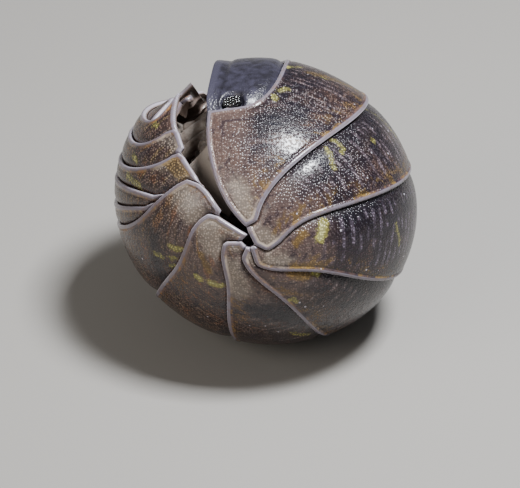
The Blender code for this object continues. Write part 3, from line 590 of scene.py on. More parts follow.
def cuticle_material(settings):
    """Calcified cuticle: chalky horn under a thin clear wax, brown and slate, and finely granulated.

    To the eye it is a dark gloss broken up by small grains, with painted shade in the net between them,
    a painted bluish sheen in its blue-grey, pale streaks where muscles are fixed, yellow and ochre marks,
    and greyish ends and rims that look see-through, with the ends partly lightened as painted light and
    a painted highlight along the rims' very edge. Real grains lie about 0.05 mm apart, and these are drawn
    a little coarser, or they wouldn't show.
    """
    made, tree, shader = new_material("calcified_cuticle")
    keys = ("edge", "share", "across", "along", "lobe", "seed", "warmth", "under", *KINDS)
    values = {key: add_node(tree, "Attribute", attribute_name=key).outputs["Fac"] for key in keys}
    fine = millimetres(tree)
    inputs = {0: values["across"], 1: values["along"], 2: values["seed"]}
    sheet = add_node(tree, "CombineXYZ", inputs).outputs[0]
    drawn = add_node(tree, "Mapping", {"Vector": sheet, "Scale": (1.0, STREAK_STRETCH, 1.0)}).outputs[0]
    for key, (place, scale, detail, distortion) in NOISES.items():
        inputs = {"Vector": {"sheet": sheet, "fine": fine}[place], "Scale": scale, "Detail": detail,
                  "Distortion": distortion}
        values[key] = add_node(tree, "TexNoise", inputs).outputs["Fac"]
    inputs = {"Vector": drawn, "Scale": settings.streak_scale, "Distortion": 9.0, "Detail": 2.0,
              "Detail Scale": 0.7}
    values["waves"] = add_node(tree, "TexWave", inputs, bands_direction="X").outputs["Fac"]
    inputs = {"Vector": fine, "Scale": MM / settings.granule, "Randomness": GRAIN_DISORDER}
    values["grains"] = add_node(tree, "TexVoronoi", inputs).outputs["Distance"]
    values["dots"] = add_node(tree, "TexVoronoi", {"Vector": fine, "Scale": DOTS}).outputs["Distance"]
    for key, (source, times, plus) in SUMS.items():
        inputs = {0: values[source], 1: times, 2: values.get(plus, plus)}
        values[key] = add_node(tree, "Math", inputs, operation="MULTIPLY_ADD").outputs[0]
    rim = settings.rim_width / MM
    for key, (source, start, end) in {**STEPS, "margin": ("edge", rim, rim - RIM_SOFTNESS)}.items():
        inputs = {0: values[source], 1: start, 2: end}
        values[key] = add_node(tree, "MapRange", inputs, interpolation_type="SMOOTHSTEP").outputs[0]

    colours = {key: (*getattr(settings, key), 1.0) for key in SHELL_COLOURS}
    colours["ground"] = layered(tree, colours, values, "plum", (("brown", 1.0, "tone"),))
    colours["thread"] = layered(tree, colours, values, "streak", (("tan", 1.0, "warmth"),))
    colours["rim"] = layered(tree, colours, values, "rim_colour", (("brown", 0.5, "stained"),))
    relief = values["crest"]
    for key, loss in WORN.items():
        inputs = {0: values[key], 1: -loss, 2: 1.0}
        kept = add_node(tree, "Math", inputs, operation="MULTIPLY_ADD").outputs[0]
        relief = add_node(tree, "Math", {0: relief, 1: kept}, operation="MULTIPLY").outputs[0]
    inputs = {0: values["ripple"], 1: RIPPLE, 2: relief}
    relief = add_node(tree, "Math", inputs, operation="MULTIPLY_ADD").outputs[0]
    dressed(tree, shader, layered(tree, colours, values, "ground", LAYERS), relief, 1.0,
            settings.granule_height,
            {"Roughness": 0.26, "IOR": 1.45, "Coat Weight": 0.07, "Coat Roughness": 0.12,
             "Subsurface Weight": 0.1, "Subsurface Radius": (1.0, 0.65, 0.5), "Subsurface Scale": 0.08 * MM})
    return made


def clouded_material(name, first, second, forms, depth, look):
    """A skin of two colours in clouds, so many to a millimetre, with wrinkles of a depth in millimetres."""
    made, tree, shader = new_material(name)
    fine = millimetres(tree)
    clouds = add_node(tree, "TexNoise", {"Vector": fine, "Scale": forms, "Detail": 4.0})
    wrinkles = add_node(tree, "TexNoise", {"Vector": fine, "Scale": forms * WRINKLES, "Detail": 2.0})
    share = add_node(tree, "MapRange", {0: clouds.outputs["Fac"], 1: 0.35, 2: 0.65}).outputs[0]
    colour = add_node(tree, "Mix", {0: share, 6: (*first, 1.0), 7: (*second, 1.0)}, data_type="RGBA")
    dressed(tree, shader, colour.outputs[2], wrinkles.outputs["Fac"], 0.6, depth * MM,
            {"IOR": 1.5, "Subsurface Radius": (1.0, 0.8, 0.7), "Subsurface Scale": 0.2 * MM, **look})
    return made


def head_material(settings):
    """Cuticle of the head: unchalked horn with a coat of wax.

    To the eye it is blue-black and smoother than the plates, with faint clouds and fine pits, and its
    front ridge is a little paler.
    """
    made, tree, shader = new_material("head_cuticle")
    brow = add_node(tree, "Attribute", attribute_name="brow").outputs["Fac"]
    fine = millimetres(tree)
    cloud = add_node(tree, "TexNoise", {"Vector": fine, "Scale": 4.0, "Detail": 6.0, "Distortion": 0.2})
    pits = add_node(tree, "TexVoronoi", {"Vector": fine, "Scale": HEAD_PITS}, feature="SMOOTH_F1")
    share = add_node(tree, "MapRange", {0: cloud.outputs["Fac"], 1: 0.35, 2: 0.68}).outputs[0]
    crest = add_node(tree, "MapRange", {0: pits.outputs["Distance"], 1: 0.5, 2: 0.2}).outputs[0]
    band = add_node(tree, "MapRange", {0: brow, 1: 0.35, 2: 0.7}, interpolation_type="SMOOTHSTEP").outputs[0]
    colours = {key: (*getattr(settings, key), 1.0) for key in ("dark", "bloom", "ridge")}
    colour = layered(tree, colours, {"share": share, "band": band}, "dark",
                     (("bloom", 1.0, "share"), ("ridge", 1.0, "band")))
    dressed(tree, shader, colour, crest, 0.7, 0.01 * MM,
            {"Roughness": 0.34, "IOR": 1.46, "Coat Weight": 0.12, "Coat Roughness": 0.12})
    return made


# Grids of the single pieces: across and along
HEAD_GRID = (110, 120)
TELSON_GRID = (60, 40)
UROPOD_GRID = (24, 40)
GILL_GRID = (30, 20)
SKIN_GRID = (60, 240)

# The head, in degrees and millimetres
HEAD_SIDE = 38.0
HEAD_FRONT = 14.0
HEAD_FRONT_BEND = 4.0
HEAD_BACK = 45.5
HEAD_UNDER = 0.55             # depth of the head's hidden part
HEAD_SPLIT = 0.62             # share of the grid's rows on top of the head, and the rest down its face
HEAD_EASE = 1.6
FLUSH = (0.7, 0.97, 1.12)     # shares of the notch where the head starts to sink, is a step down, and is deep
CHEEK_RISE = 0.9
LIP_SWELL = (0.03, 0.0, 0.6)
# Down the face from the front ridge to the mouth and back: turn from the ridge, and depth beyond it
FACE = ((0.0, 0.0), (-1.2, 0.22), (-0.2, 0.42), (1.2, 1.0), (1.0, 1.55), (4.5, 2.05), (11.0, 2.4),
        (17.0, 2.5))
HEAD_CORE = (0.8, 30.0, 2.7)  # towards which the inside lies: share of the lateral angle, turn, and radius
HEAD_HOLLOW = 0.5
BROW = (1.0, 0.0, 0.22)       # pale ridge on top of its margin: strength, distance from it and width
BROW_UNDER = (1.0, HEAD_SPLIT, 0.06)
SHIELD = (0.05, 0.0, 9.0)     # raised middle of the front: height, lateral angle and width
SHIELD_DEEP = (1.0, 0.0, 0.2)
FRONT_RIDGE = (0.06, 0.0, 0.13)
FRONT_FURROW = (0.04, 0.33, 0.09)
SOCKET_SIZE = (4.4, 5.4)      # half widths of an eye's socket in lateral angle and turn
SOCKET_RING = (0.008, 1.25, 0.2)
SOCKET_DEPTH = 0.16
SOCKET_EDGE = (0.8, 1.1)
HEAD_PITS = 20.0              # pits to a millimetre

# The eyes
EYE_PLACE = (29.6, 22.2, 0.13)      # lateral angle, turn and depth
EYE_HALF = (0.21, 0.28, 0.17)
EYE_CORE = 0.93                     # share of an eye's size inside its facets
FACET_ROWS = 6
FACET_COLUMNS = 4
FACET_SPREAD = (0.9, 0.9, 0.8)      # how far out on the eye the facets sit
FACET_ROOM = (0.35, 0.3)            # room left beside the outer facets, as shares of a facet
FACET_FALL = (0.9, 0.8)             # how far out the facets still sink, and their share of the eye's fall

WRINKLES = 6.0                      # wrinkles to each cloud on the soft skins


def notch_reach(lateral, turn):
    """Share of the notch's size at a place: 1 on its outline."""
    middle, length, width, power = NOTCH
    across, back = np.abs(lateral) / width, np.abs(turn - middle) / length
    return (across ** power + back ** power) ** (1 / power)


def head_depth(lateral, turn):
    """Depth of the top of the head: flush in the notch, and deeper where the first plate covers it."""
    reach = notch_reach(lateral, turn)
    start, level, end = FLUSH
    flush = STEP * np.clip((reach - start) / (level - start), 0.0, 1.0) ** 3
    return flush + (HEAD_UNDER - STEP) * eased(reach, level, end)


def head_shape(x, y):
    """Layout of the head, from its hidden back over the top and down the face."""
    lateral = HEAD_SIDE * np.sin(np.radians(90.0 * (2 * x - 1)))
    front_turn = HEAD_FRONT - HEAD_FRONT_BEND * (lateral / NOTCH[2]) ** 2
    ease = 1 - (1 - np.clip(y / HEAD_SPLIT, 0.0, 1.0)) ** HEAD_EASE
    turn = HEAD_BACK + (front_turn - HEAD_BACK) * ease
    behind = np.radians(np.abs(turn - front_turn)) * RADIUS
    shield = hill(lateral, *SHIELD) * hill(behind, *SHIELD_DEEP)
    ridge = hill(behind, *FRONT_RIDGE) - hill(behind, *FRONT_FURROW)
    gap = np.hypot((lateral - np.sign(lateral) * EYE_PLACE[0]) / SOCKET_SIZE[0],
                   (turn - EYE_PLACE[1]) / SOCKET_SIZE[1])
    socket = hill(gap, *SOCKET_RING) - SOCKET_DEPTH * (1 - eased(gap, *SOCKET_EDGE))
    radius = RADIUS - head_depth(lateral, turn) + shield + ridge + socket
    down = np.clip((y - HEAD_SPLIT) / (1 - HEAD_SPLIT), 0.0, 1.0) * (len(FACE) - 1)
    steps, depths = (np.interp(down, range(len(FACE)), row) for row in zip(*FACE))
    deep = depths + head_depth(lateral, front_turn) * np.clip(1 - down, 0.0, 1.0)
    rise = CHEEK_RISE * (lateral / HEAD_SIDE) ** 2 * deep / RADIUS
    face = y > HEAD_SPLIT
    brow = np.where(face, hill(y, *BROW_UNDER), hill(behind, *BROW))
    turn = np.where(face, front_turn + steps, turn)
    radius = np.where(face, RADIUS - deep + rise + hill(down, *LIP_SWELL), radius)
    outer = placed(directions(lateral, turn), radius)
    share, core_turn, core_radius = HEAD_CORE
    core = placed(directions(lateral * share, np.full(len(x), core_turn)), np.full(len(x), core_radius))
    return outer, outer + (core - outer) * HEAD_HOLLOW, {"brow": brow}


def eye_piece(side, settings, surface):
    """One compound eye: a dark cushion with a small dome for each facet."""
    lateral, own_turn, own_depth = EYE_PLACE

    def place(turn, depth):
        return Vector(placed(directions(side * lateral, turn), RADIUS - depth).tolist())

    here = place(own_turn, own_depth)
    along = place(own_turn + 1.0, own_depth) - here
    out = place(own_turn, -1.0) - here
    out.normalize()
    sideways = along.cross(out).normalized()
    along = out.cross(sideways).normalized()
    basis = Matrix((sideways, along, out)).transposed().to_4x4()
    basis.translation = here
    half = Vector(EYE_HALF) * MM
    bm = bmesh.new()
    bmesh.ops.create_uvsphere(bm, u_segments=40, v_segments=24, radius=1.0)
    bmesh.ops.transform(bm, matrix=basis @ Matrix.Diagonal((*(half * EYE_CORE), 1.0)), verts=bm.verts[:])
    for row in range(FACET_ROWS):
        for column in range(FACET_COLUMNS):
            u = (column + 0.5 * (row % 2) - (FACET_COLUMNS - 0.5) / 2) / (FACET_COLUMNS / 2 + FACET_ROOM[0])
            v = (row - (FACET_ROWS - 1) / 2) / (FACET_ROWS / 2 + FACET_ROOM[1])
            if math.hypot(u, v) > EYE_CORE:
                continue
            height = math.sqrt(1 - min(u * u + v * v, FACET_FALL[0]) * FACET_FALL[1])
            wide, long, high = (share * size for share, size in zip(FACET_SPREAD, half))
            centre = basis @ Vector((u * wide, v * long, height * high))
            dome = bmesh.ops.create_icosphere(bm, subdivisions=2, radius=settings.facet / 2)
            bmesh.ops.translate(bm, vec=centre, verts=dome["verts"])
    return finished(f"eye_facets_{side_word(side)}", bm, surface)


def side_word(side):
    """Left for 1 and right for -1."""
    return "left" if side > 0 else "right"


def spread(values, share):
    """Values on a smooth curve through rows of numbers, at shares of its length."""
    values = np.asarray(values, float)
    place = np.clip(share, 0.0, 1.0) * (len(values) - 1)
    k = np.minimum(place.astype(int), len(values) - 2)
    t = (place - k)[:, None]
    rows = [values[np.clip(k + step, 0, len(values) - 1)].reshape(len(k), -1) for step in (-1, 0, 1, 2)]
    before, a, b, after = rows
    return 0.5 * (2 * a + (b - before) * t + (2 * before - 5 * a + 4 * b - after) * t ** 2
                  + (3 * a - before - 3 * b + after) * t ** 3)


def limb(bm, points, radii, sides=16):
    """A closed tapered limb in a bmesh: a ring extruded from place to place along its line."""
    points = [Vector(p) for p in points]
    ring = bmesh.ops.create_circle(bm, cap_ends=True, segments=sides, radius=1.0)["verts"]
    face = ring[0].link_faces[0]
    flat = [v.co.copy() for v in face.verts]
    turn = Matrix.Identity(3)
    heading = Vector((0.0, 0.0, 1.0))
    for k, (point, radius) in enumerate(zip(points, radii)):
        ahead = points[min(k + 1, len(points) - 1)] - points[max(k - 1, 0)]
        turn = heading.rotation_difference(ahead).to_matrix() @ turn
        heading = ahead.normalized()
        if k:
            grown = bmesh.ops.extrude_face_region(bm, geom=[face])
            if k > 1:
                bmesh.ops.delete(bm, geom=[face], context="FACES_ONLY")
            face = next(g for g in grown["geom"] if isinstance(g, bmesh.types.BMFace))
        for vert, start in zip(face.verts, flat):
            vert.co = point + turn @ (start * radius)


# The limbs, in millimetres: the paths are the solids' own
LEG_ROOT_TURNS = (57.0, 83.0, 120.0, 160.0, 197.0, 232.0, 267.0)
LEG_FIRST_TURN = 54.0
LEG_TURN_STEP = 36.2
LEG_PATH = ((1.85, 1.61), (1.85, 1.44), (1.62, 1.34), (1.15, 1.31), (0.64, 1.25), (0.38, 1.03),
            (0.55, 0.80), (1.05, 0.76), (1.55, 0.78), (1.98, 0.86))
LEG_RADII = (0.21, 0.21, 0.22, 0.22, 0.20, 0.19, 0.19, 0.17, 0.14, 0.06)
LEG_SWING = 3
LEG_JOINTS = (0.2, 0.37, 0.56, 0.70, 0.86)
CLAW_SHARE = 0.93             # share of a leg's length where its claw begins
CLAW_OVERLAP = 0.01
CLAW_RADII = (0.065, 0.008)
CLAW_POINTS = 14
LIMB_POINTS = 150
JOINT_PINCH = (0.26, 0.0, 0.012)      # depth, place before a joint, and width as shares of the length
JOINT_SWELL = (0.07, -0.04, 0.025)
FEELER_PATH = ((0.82, 2.75, 9.6), (0.86, 2.68, 4.5), (1.1, 2.52, 359.0), (1.6, 2.35, 357.0),
               (2.15, 2.15, 359.5), (2.5, 1.92, 366.0), (2.52, 1.78, 374.0), (2.42, 1.66, 382.0),
               (2.35, 1.55, 392.0))
FEELER_RADII = (0.22, 0.23, 0.22, 0.21, 0.20, 0.20, 0.18, 0.13, 0.06)
FEELER_JOINTS = (0.12, 0.24, 0.40, 0.58, 0.76, 0.89)


def articled(radii, shares, joints):
    """Radii of a limb in millimetres, pinched at its joints and swollen before them."""
    wide = spread(radii, shares)[:, 0]
    for joint in joints:
        wide = wide * (1 - hill(shares - joint, *JOINT_PINCH)) * (1 + hill(shares - joint, *JOINT_SWELL))
    return wide


def leg_line(side, number, shares):
    """World places along one leg, counted from the head."""
    root, own = LEG_ROOT_TURNS[number], LEG_FIRST_TURN + LEG_TURN_STEP * number
    path = []
    for k, (across, out) in enumerate(LEG_PATH):
        turn = root + (own - root) * min(max(k - 1, 0) / LEG_SWING, 1.0)
        path.append(roll_points(side * across, out, turn))
    return spread(path, shares)


# The soft skin inside, in degrees and millimetres
SKIN_TURNS = (47.0, 337.0)
SKIN_REACH = (76.0, 48.0)             # lateral reach at the front, and how much less it is at the tail
SKIN_TAIL = (270.0, 300.0)
SKIN_DEPTH = (0.42, 0.35)             # under the ball's surface on the midline, and how much more at the side
SKIN_SLIT = (34.0, 48.0, 77.0, 0.3)   # under the slit: lateral angles where it begins, turn back and depth
SKIN_RIB = (0.06, 36.2)               # height of a rib and turn from one to the next
TRUNK = (1.78, 0.79)                  # radius under the trunk, and how much more at the tail
SKIN_INNER = 0.95                     # depth that the inside keeps at the sides


def skin_shape(x, y):
    """Layout of the soft body inside the plates, ribbed on its underside by the segments."""
    start, end = SKIN_TURNS
    turn = start + (end - start) * y
    tail = eased(turn, *SKIN_TAIL)
    reach = SKIN_REACH[0] - SKIN_REACH[1] * tail
    lateral = reach * np.sin(np.radians(90.0 * (2 * x - 1)))
    first, full, back, sink = SKIN_SLIT
    under_slit = eased(np.abs(lateral), first, full) * (1 - y) ** 4
    turn = turn - back * under_slit
    top = RADIUS - SKIN_DEPTH[0] - SKIN_DEPTH[1] * (np.abs(lateral) / reach) ** 4 - sink * under_slit
    slope = np.cos(np.radians(lateral))
    rib = SKIN_RIB[0] * np.cos(2 * np.pi * (turn - start) / SKIN_RIB[1]) * slope
    trunk = TRUNK[0] + TRUNK[1] * tail + rib
    low = np.minimum(trunk / slope, RADIUS - SKIN_INNER) - sink * under_slit
    ways = directions(lateral, turn)
    return placed(ways, top), placed(ways, low), {}


# The telson and the flat tail limbs beside it, in degrees and millimetres
TELSON_SINK = 0.24                    # depth of the telson's tip under the ball's surface
TELSON_TIP = (6.0, 352.0)             # half width of the tip, and its turn
TELSON_TUCK = 0.25                    # share of its length that reaches under the last plate
TELSON_STATIONS = 4.0                 # stations of the last plate's margin that it lies behind
TELSON_THICK = (0.12, 0.12)           # at its edges, and how much more in the middle
TELSON_EDGE = (0.5, 1.6)              # from side to middle, and how many times as wide its rims are drawn
UROPOD_SINK = 0.30
UROPOD_FRONT = ((16.6, 343.9), (17.6, 345.4))
UROPOD_HIND = ((7.4, 353.0), (11.4, 357.4))
UROPOD_BULGE = 3.0
UROPOD_NARROW = (0.3, 0.55)           # width at the tip as a share, and where the narrowing begins
UROPOD_DROP = 0.12
UROPOD_SIZE = (0.4, 0.8)              # width and length
UROPOD_EDGES = (0.35, 0.7)            # distances that count as its side and hind edges' whole width
UROPOD_THICK = (0.1, 0.2)
UROPOD_THINNED = 0.7                  # share of the extra thickness that is gone at the tip
EDGE_WIDENED = (4.0, 0.06)            # so that its narrow rims aren't drawn as wide as a plate's


def tail_values(edge, share, across, along, lobe, seed):
    """Values that the cuticle reads on a piece of the tail's end, which has no marks."""
    even = np.ones(len(edge))
    values = {"edge": edge, "share": share, "across": across, "along": along, "lobe": lobe * even,
              "seed": seed * even, "warmth": even}
    return {**values, **{kind: 0 * even for kind in KINDS}}


def tail_shape(x, y):
    """Layout of the telson, between the tail limbs."""
    side = 2 * x - 1
    share = np.abs(side)
    a = hind("pleonite_5", share * TELSON_STATIONS)
    b = directions(TELSON_TIP[0] * share, TELSON_TIP[1] - share ** 2)
    along = (1 + TELSON_TUCK) * y - TELSON_TUCK
    ways = mirrored(slerped(a, b, along), side)
    arc = np.arccos(np.clip(np.sum(a * b, axis=1), -1, 1)) * RADIUS
    edge = np.minimum((1 - along) * arc, (1 - share) * TELSON_EDGE[0]) * TELSON_EDGE[1]
    top = RADIUS + rim_relief(edge) - STEP - (TELSON_SINK - STEP) * np.clip(along, 0.0, 1.0)
    low = top - TELSON_THICK[0] - TELSON_THICK[1] * (1 - share ** 2)
    values = tail_values(edge, along, np.arcsin(ways[:, 0]) * RADIUS, along * arc, 0.0, 51.0)
    return placed(ways, top), placed(ways, low), values


def uropod_shape(side):
    """Layout of one flat tail limb beside the telson."""
    def shape(x, y):
        inner = [a + (b - a) * y for a, b in zip(UROPOD_FRONT[0], UROPOD_HIND[0])]
        outer = [a + (b - a) * y for a, b in zip(UROPOD_FRONT[1], UROPOD_HIND[1])]
        tip, start = UROPOD_NARROW
        narrow = tip + (1 - tip) * np.sqrt(1 - np.clip((y - start) / (1 - start), 0.0, 1.0) ** 2)
        place = 0.5 + (x - 0.5) * narrow
        lateral = inner[0] + (outer[0] + UROPOD_BULGE * 4 * y * (1 - y) - inner[0]) * place
        turn = inner[1] + (outer[1] - inner[1]) * place
        edge = np.minimum(np.minimum(x, 1 - x) * UROPOD_EDGES[0], (1 - y) * UROPOD_EDGES[1])
        ways = directions(side * lateral, turn)
        top = RADIUS - UROPOD_SINK + rim_relief(edge) - UROPOD_DROP * (1 - y) ** 3
        round_off = np.sqrt(np.clip(4 * x * (1 - x), 0.0, 1.0)) * (1 - UROPOD_THINNED * y)
        low = top - UROPOD_THICK[0] - UROPOD_THICK[1] * round_off
        values = tail_values(edge * EDGE_WIDENED[0] + EDGE_WIDENED[1], y, x * UROPOD_SIZE[0],
                             y * UROPOD_SIZE[1], 1.0, 60.0 + side)
        return placed(ways, top), placed(ways, low), values
    return shape


# The gill flaps, in degrees and millimetres
GILL_FLAPS = 5
GILL_TURNS = (289.0, 337.0)
GILL_SIDES = (0.13, 1.55)             # from the midline
GILL_OUT = (2.16, 0.26, 0.10)         # distance from the roll axis, less at the tip, and more at the side
GILL_THICK = (0.03, 0.06)             # at its edges, and how much more in the middle
GILL_THINNED = 0.6
GILL_LENGTH = (0.55, 0.45)            # share of a flap's length at its edges, and how much more in the middle
GILL_OVERLAP = 1.25


def gill_shape(side, flap):
    """Layout of one gill flap: a thin lobe that reaches tailward under the next one."""
    start, end = GILL_TURNS
    step = (end - start) / GILL_FLAPS

    def shape(x, y):
        wide = GILL_SIDES[0] + (GILL_SIDES[1] - GILL_SIDES[0]) * x
        round_off = np.sqrt(np.clip(1 - (2 * x - 1) ** 2, 0.0, 1.0))
        turn = start + step * flap + step * GILL_OVERLAP * y * (GILL_LENGTH[0] + GILL_LENGTH[1] * round_off)
        out = GILL_OUT[0] - GILL_OUT[1] * y + GILL_OUT[2] * x ** 2
        thick = GILL_THICK[0] + GILL_THICK[1] * round_off * (1 - GILL_THINNED * y)
        return roll_points(side * wide, out, turn), roll_points(side * wide, out - thick, turn), {}
    return shape


SHELL_COLOURS = ("brown", "plum", "lobe", "slate_and_sheen", "streak", "tan", "ochre", "rust", "yellow", "cream", "furrow_shade",
                 "pale", "rim_colour", "rim_lip", "lining")


class ShellSettings(bpy.types.PropertyGroup):
    """Sizes and colours of the back's plates."""
    granule: length_property("Granule", 0.065, "Distance between two grains of the cuticle", 0.01)
    granule_height: length_property("Granule height", 0.0125, "How high a grain stands")
    rim_width: length_property("Rim width", 0.12, "Width of the pale free rims", 0.04)
    streak_scale: bpy.props.FloatProperty(name="Streak scale", description="How close the pale streaks lie",
                                          default=1.25, min=0.1)
    brown: colour_property("Brown", "#624a3f", "Lighter ground colour")
    plum: colour_property("Plum", "#2a2029", "Darker ground colour and the web between grains")
    lobe: colour_property("Side lobes", "#6c5a53", "Ground colour of the side lobes")
    # Slate-grey front of each plate, tinted bluer than its own colour as a painted bluish sheen
    slate_and_sheen: colour_property("Slate", "#11131f", "Front of each plate along the back")
    streak: colour_property("Streaks", "#7c6f7e", "Pale streaks where muscles are fixed")
    tan: colour_property("Tan streaks", "#86704f", "The same streaks on the browner plates")
    ochre: colour_property("Ochre", "#80652f", "Blotches before the hind rim")
    rust: colour_property("Rust", "#85583a", "Red-brown clouds on the browner plates")
    yellow: colour_property("Yellow", "#aaa452", "Yellow marks")
    # Painted shade in the net between the grains
    cream: colour_property("Cream", "#c6c48e", "Middle of the yellow marks")
    furrow_shade: colour_property("Web", "#120d11", "Net between the grains")
    # Pale lobe ends: their own colour, and partly painted light where the lower lobes get less light
    pale: colour_property("Pale", "#978a7d", "See-through ends of the side lobes")
    rim_colour: colour_property("Rim", "#6b646d", "Free rims of the plates")
    # Pale colour of the small white dots, and of a painted highlight along the rims' very edge
    rim_lip: colour_property("Rim's edge", "#b9b3bd", "Very edge of the rims")
    lining: colour_property("Lining", "#86766e", "Soft lining on the inside of the plates")


class HeadSettings(bpy.types.PropertyGroup):
    """Sizes and colours of the head and eyes."""
    facet: length_property("Facet", 0.1, "Diameter of an eye's facet", 0.02)
    dark: colour_property("Vertex", "#1d1b22", "Ground colour of the head")
    bloom: colour_property("Bloom", "#33313e", "Bluish clouds on the head")
    ridge: colour_property("Ridge", "#34323e", "Raised front margin")
    lens: colour_property("Facets", "#050608", "The eyes")


class LimbSettings(bpy.types.PropertyGroup):
    """Colours of limbs, gills and the skin inside."""
    # Partly painted light: kept light for light let through the shell into the shaded slit
    limb: colour_property("Limbs", "#a3988e", "Legs and feelers")
    joint: colour_property("Limb shade", "#6f6259", "Darker clouds on legs and feelers")
    gill: colour_property("Gills", "#c4bcb4", "Gill flaps")
    # Partly painted light: kept light for light let through the shell into the shaded slit
    skin: colour_property("Skin", "#a99c91", "Soft skin of the underside")
    claw: colour_property("Claws", "#4a2c14", "Claws of the legs")


# The stage: side of the floor's half, and size, direction and distance of each light, in metres
FLOOR_HALF = 0.4
MAIN_LIGHT = (0.014, (0.32, -0.10, 0.94), 0.06)
FILL_LIGHT = (0.06, (-0.7, -0.6, 0.5), 0.09)


class StageSettings(bpy.types.PropertyGroup):
    """Floor, lights and camera."""
    floor: colour_property("Floor", "#8c8984", "Plain pale floor")
    main_colour: colour_property("Main light's colour", "#f7faff", "Cool daylight")
    fill_colour: colour_property("Fill light's colour", "#fff8ef", "Warm light from the left")
    room_colour: colour_property("Room's colour", "#f6f9ff", "Even light from all round")
    main_power: bpy.props.FloatProperty(name="Main light", description="Power of the main soft light",
                                        default=0.12, min=0.0, unit="POWER", precision=4)
    fill_power: bpy.props.FloatProperty(name="Fill light", description="Power of the fill light",
                                        default=0.045, min=0.0, unit="POWER", precision=4)
    room_strength: bpy.props.FloatProperty(name="Room's light", description="Strength of the even light",
                                           default=0.17, min=0.0)
    distance: bpy.props.FloatProperty(name="Camera distance", default=0.2, min=0.02, unit="LENGTH",
                                      description="From the camera to the picture's middle")
    elevation: bpy.props.FloatProperty(name="Camera elevation", description="How far the camera looks down",
                                       default=math.radians(35.0), subtype="ANGLE")


class WOODLOUSE_OT_plates(bpy.types.Operator):
    """Make the twelve plates of the back."""
    bl_idname = "woodlouse.plates"
    bl_label = "Plates of the back"

    def execute(self, context):
        surface = cuticle_material(context.scene.woodlouse_shell)
        for order, name in enumerate(PLATES):
            count, shape = plate_shape(name, order)
            plate = slab("plate_" + name, COLUMNS * 2, count - 1, shape, surface)
            ride(plate, "shell", name)
        return {"FINISHED"}


class WOODLOUSE_OT_head(bpy.types.Operator):
    """Make the head and its two eyes."""
    bl_idname = "woodlouse.head"
    bl_label = "Head and eyes"

    def execute(self, context):
        settings = context.scene.woodlouse_head
        head = slab("head_capsule", *HEAD_GRID, head_shape, head_material(settings))
        ride(head, "head_shell", "head")
        # Clear domes over black pigment: to the eye they are black beads, each with a sharp point of light
        lens = clouded_material("eye_lenses", settings.lens, settings.lens, 4.0, 0.0,
                                {"Roughness": 0.06, "IOR": 1.8})
        for side in (1, -1):
            ride(eye_piece(side, settings, lens), "eye", f"eye_{side_word(side)}")
        return {"FINISHED"}


class WOODLOUSE_OT_tail(bpy.types.Operator):
    """Make the telson and the two flat tail limbs."""
    bl_idname = "woodlouse.tail"
    bl_label = "Telson and tail limbs"

    def execute(self, context):
        surface = bpy.data.materials.get("calcified_cuticle")
        if surface is None:
            raise RuntimeError("The plates of the back come first: the tail shares their material")
        telson = slab("telson_plate", *TELSON_GRID, tail_shape, surface)
        ride(telson, "shell", "telson")
        for side in (1, -1):
            uropod = slab(f"tail_limb_{side_word(side)}", *UROPOD_GRID, uropod_shape(side), surface)
            ride(uropod, "shell", f"uropod_{side_word(side)}")
        return {"FINISHED"}


class WOODLOUSE_OT_limbs(bpy.types.Operator):
    """Make the feelers, the legs and their claws."""
    bl_idname = "woodlouse.limbs"
    bl_label = "Feelers, legs and claws"

    def execute(self, context):
        settings = context.scene.woodlouse_limbs
        # Thin soft horn: to the eye it is pale and a little see-through, with greyish clouds.
        # Its pale colour is partly painted light: light let through the shell into the shaded slit
        surface = clouded_material("limb_cuticle", settings.joint, settings.limb, 5.0, 0.01,
                                   {"Roughness": 0.4, "Subsurface Weight": 0.1})
        # Hard brown horn: to the eye it is darker and glossier than the leg
        horn = clouded_material("claw_horn", settings.claw, settings.claw, 3.0, 0.002, {"Roughness": 0.25})
        shares = np.linspace(0.0, 1.0, LIMB_POINTS)
        keep = shares <= CLAW_SHARE
        wide = articled(LEG_RADII, shares, LEG_JOINTS)
        tips = np.linspace(CLAW_SHARE - CLAW_OVERLAP, 1.0, CLAW_POINTS)
        for side in (1, -1):
            word = side_word(side)
            bm = bmesh.new()
            across, out, turn = (spread(row, shares)[:, 0] for row in zip(*FEELER_PATH))
            line = roll_points(side * across, out, turn)
            limb(bm, line, articled(FEELER_RADII, shares, FEELER_JOINTS) * MM)
            ride(finished(f"feeler_{word}", bm, surface), "limb", f"antenna_{word}")
            for number in range(len(LEG_ROOT_TURNS)):
                own = f"{word}_{number + 1}"
                bm = bmesh.new()
                limb(bm, leg_line(side, number, shares)[keep], wide[keep] * MM)
                ride(finished(f"walking_leg_{own}", bm, surface), "limb", f"leg_{own}")
                bm = bmesh.new()
                limb(bm, leg_line(side, number, tips), np.linspace(*CLAW_RADII, CLAW_POINTS) * MM, 10)
                ride(finished(f"claw_{own}", bm, horn), "limb", f"leg_{own}")
        return {"FINISHED"}


class WOODLOUSE_OT_gills(bpy.types.Operator):
    """Make the gill flaps under the tail."""
    bl_idname = "woodlouse.gills"
    bl_label = "Gill flaps"

    def execute(self, context):
        settings = context.scene.woodlouse_limbs
        # Moist membrane: to the eye it is the palest part, with a soft shine and light let through
        surface = clouded_material("gill_membrane", settings.skin, settings.gill, 2.5, 0.006,
                                   {"Roughness": 0.42, "Subsurface Weight": 0.2})
        for side in (1, -1):
            word = side_word(side)
            for flap in range(GILL_FLAPS):
                piece = slab(f"gill_flap_{word}_{flap + 1}", *GILL_GRID, gill_shape(side, flap), surface)
                ride(piece, "gill", f"gills_{word}")
        return {"FINISHED"}


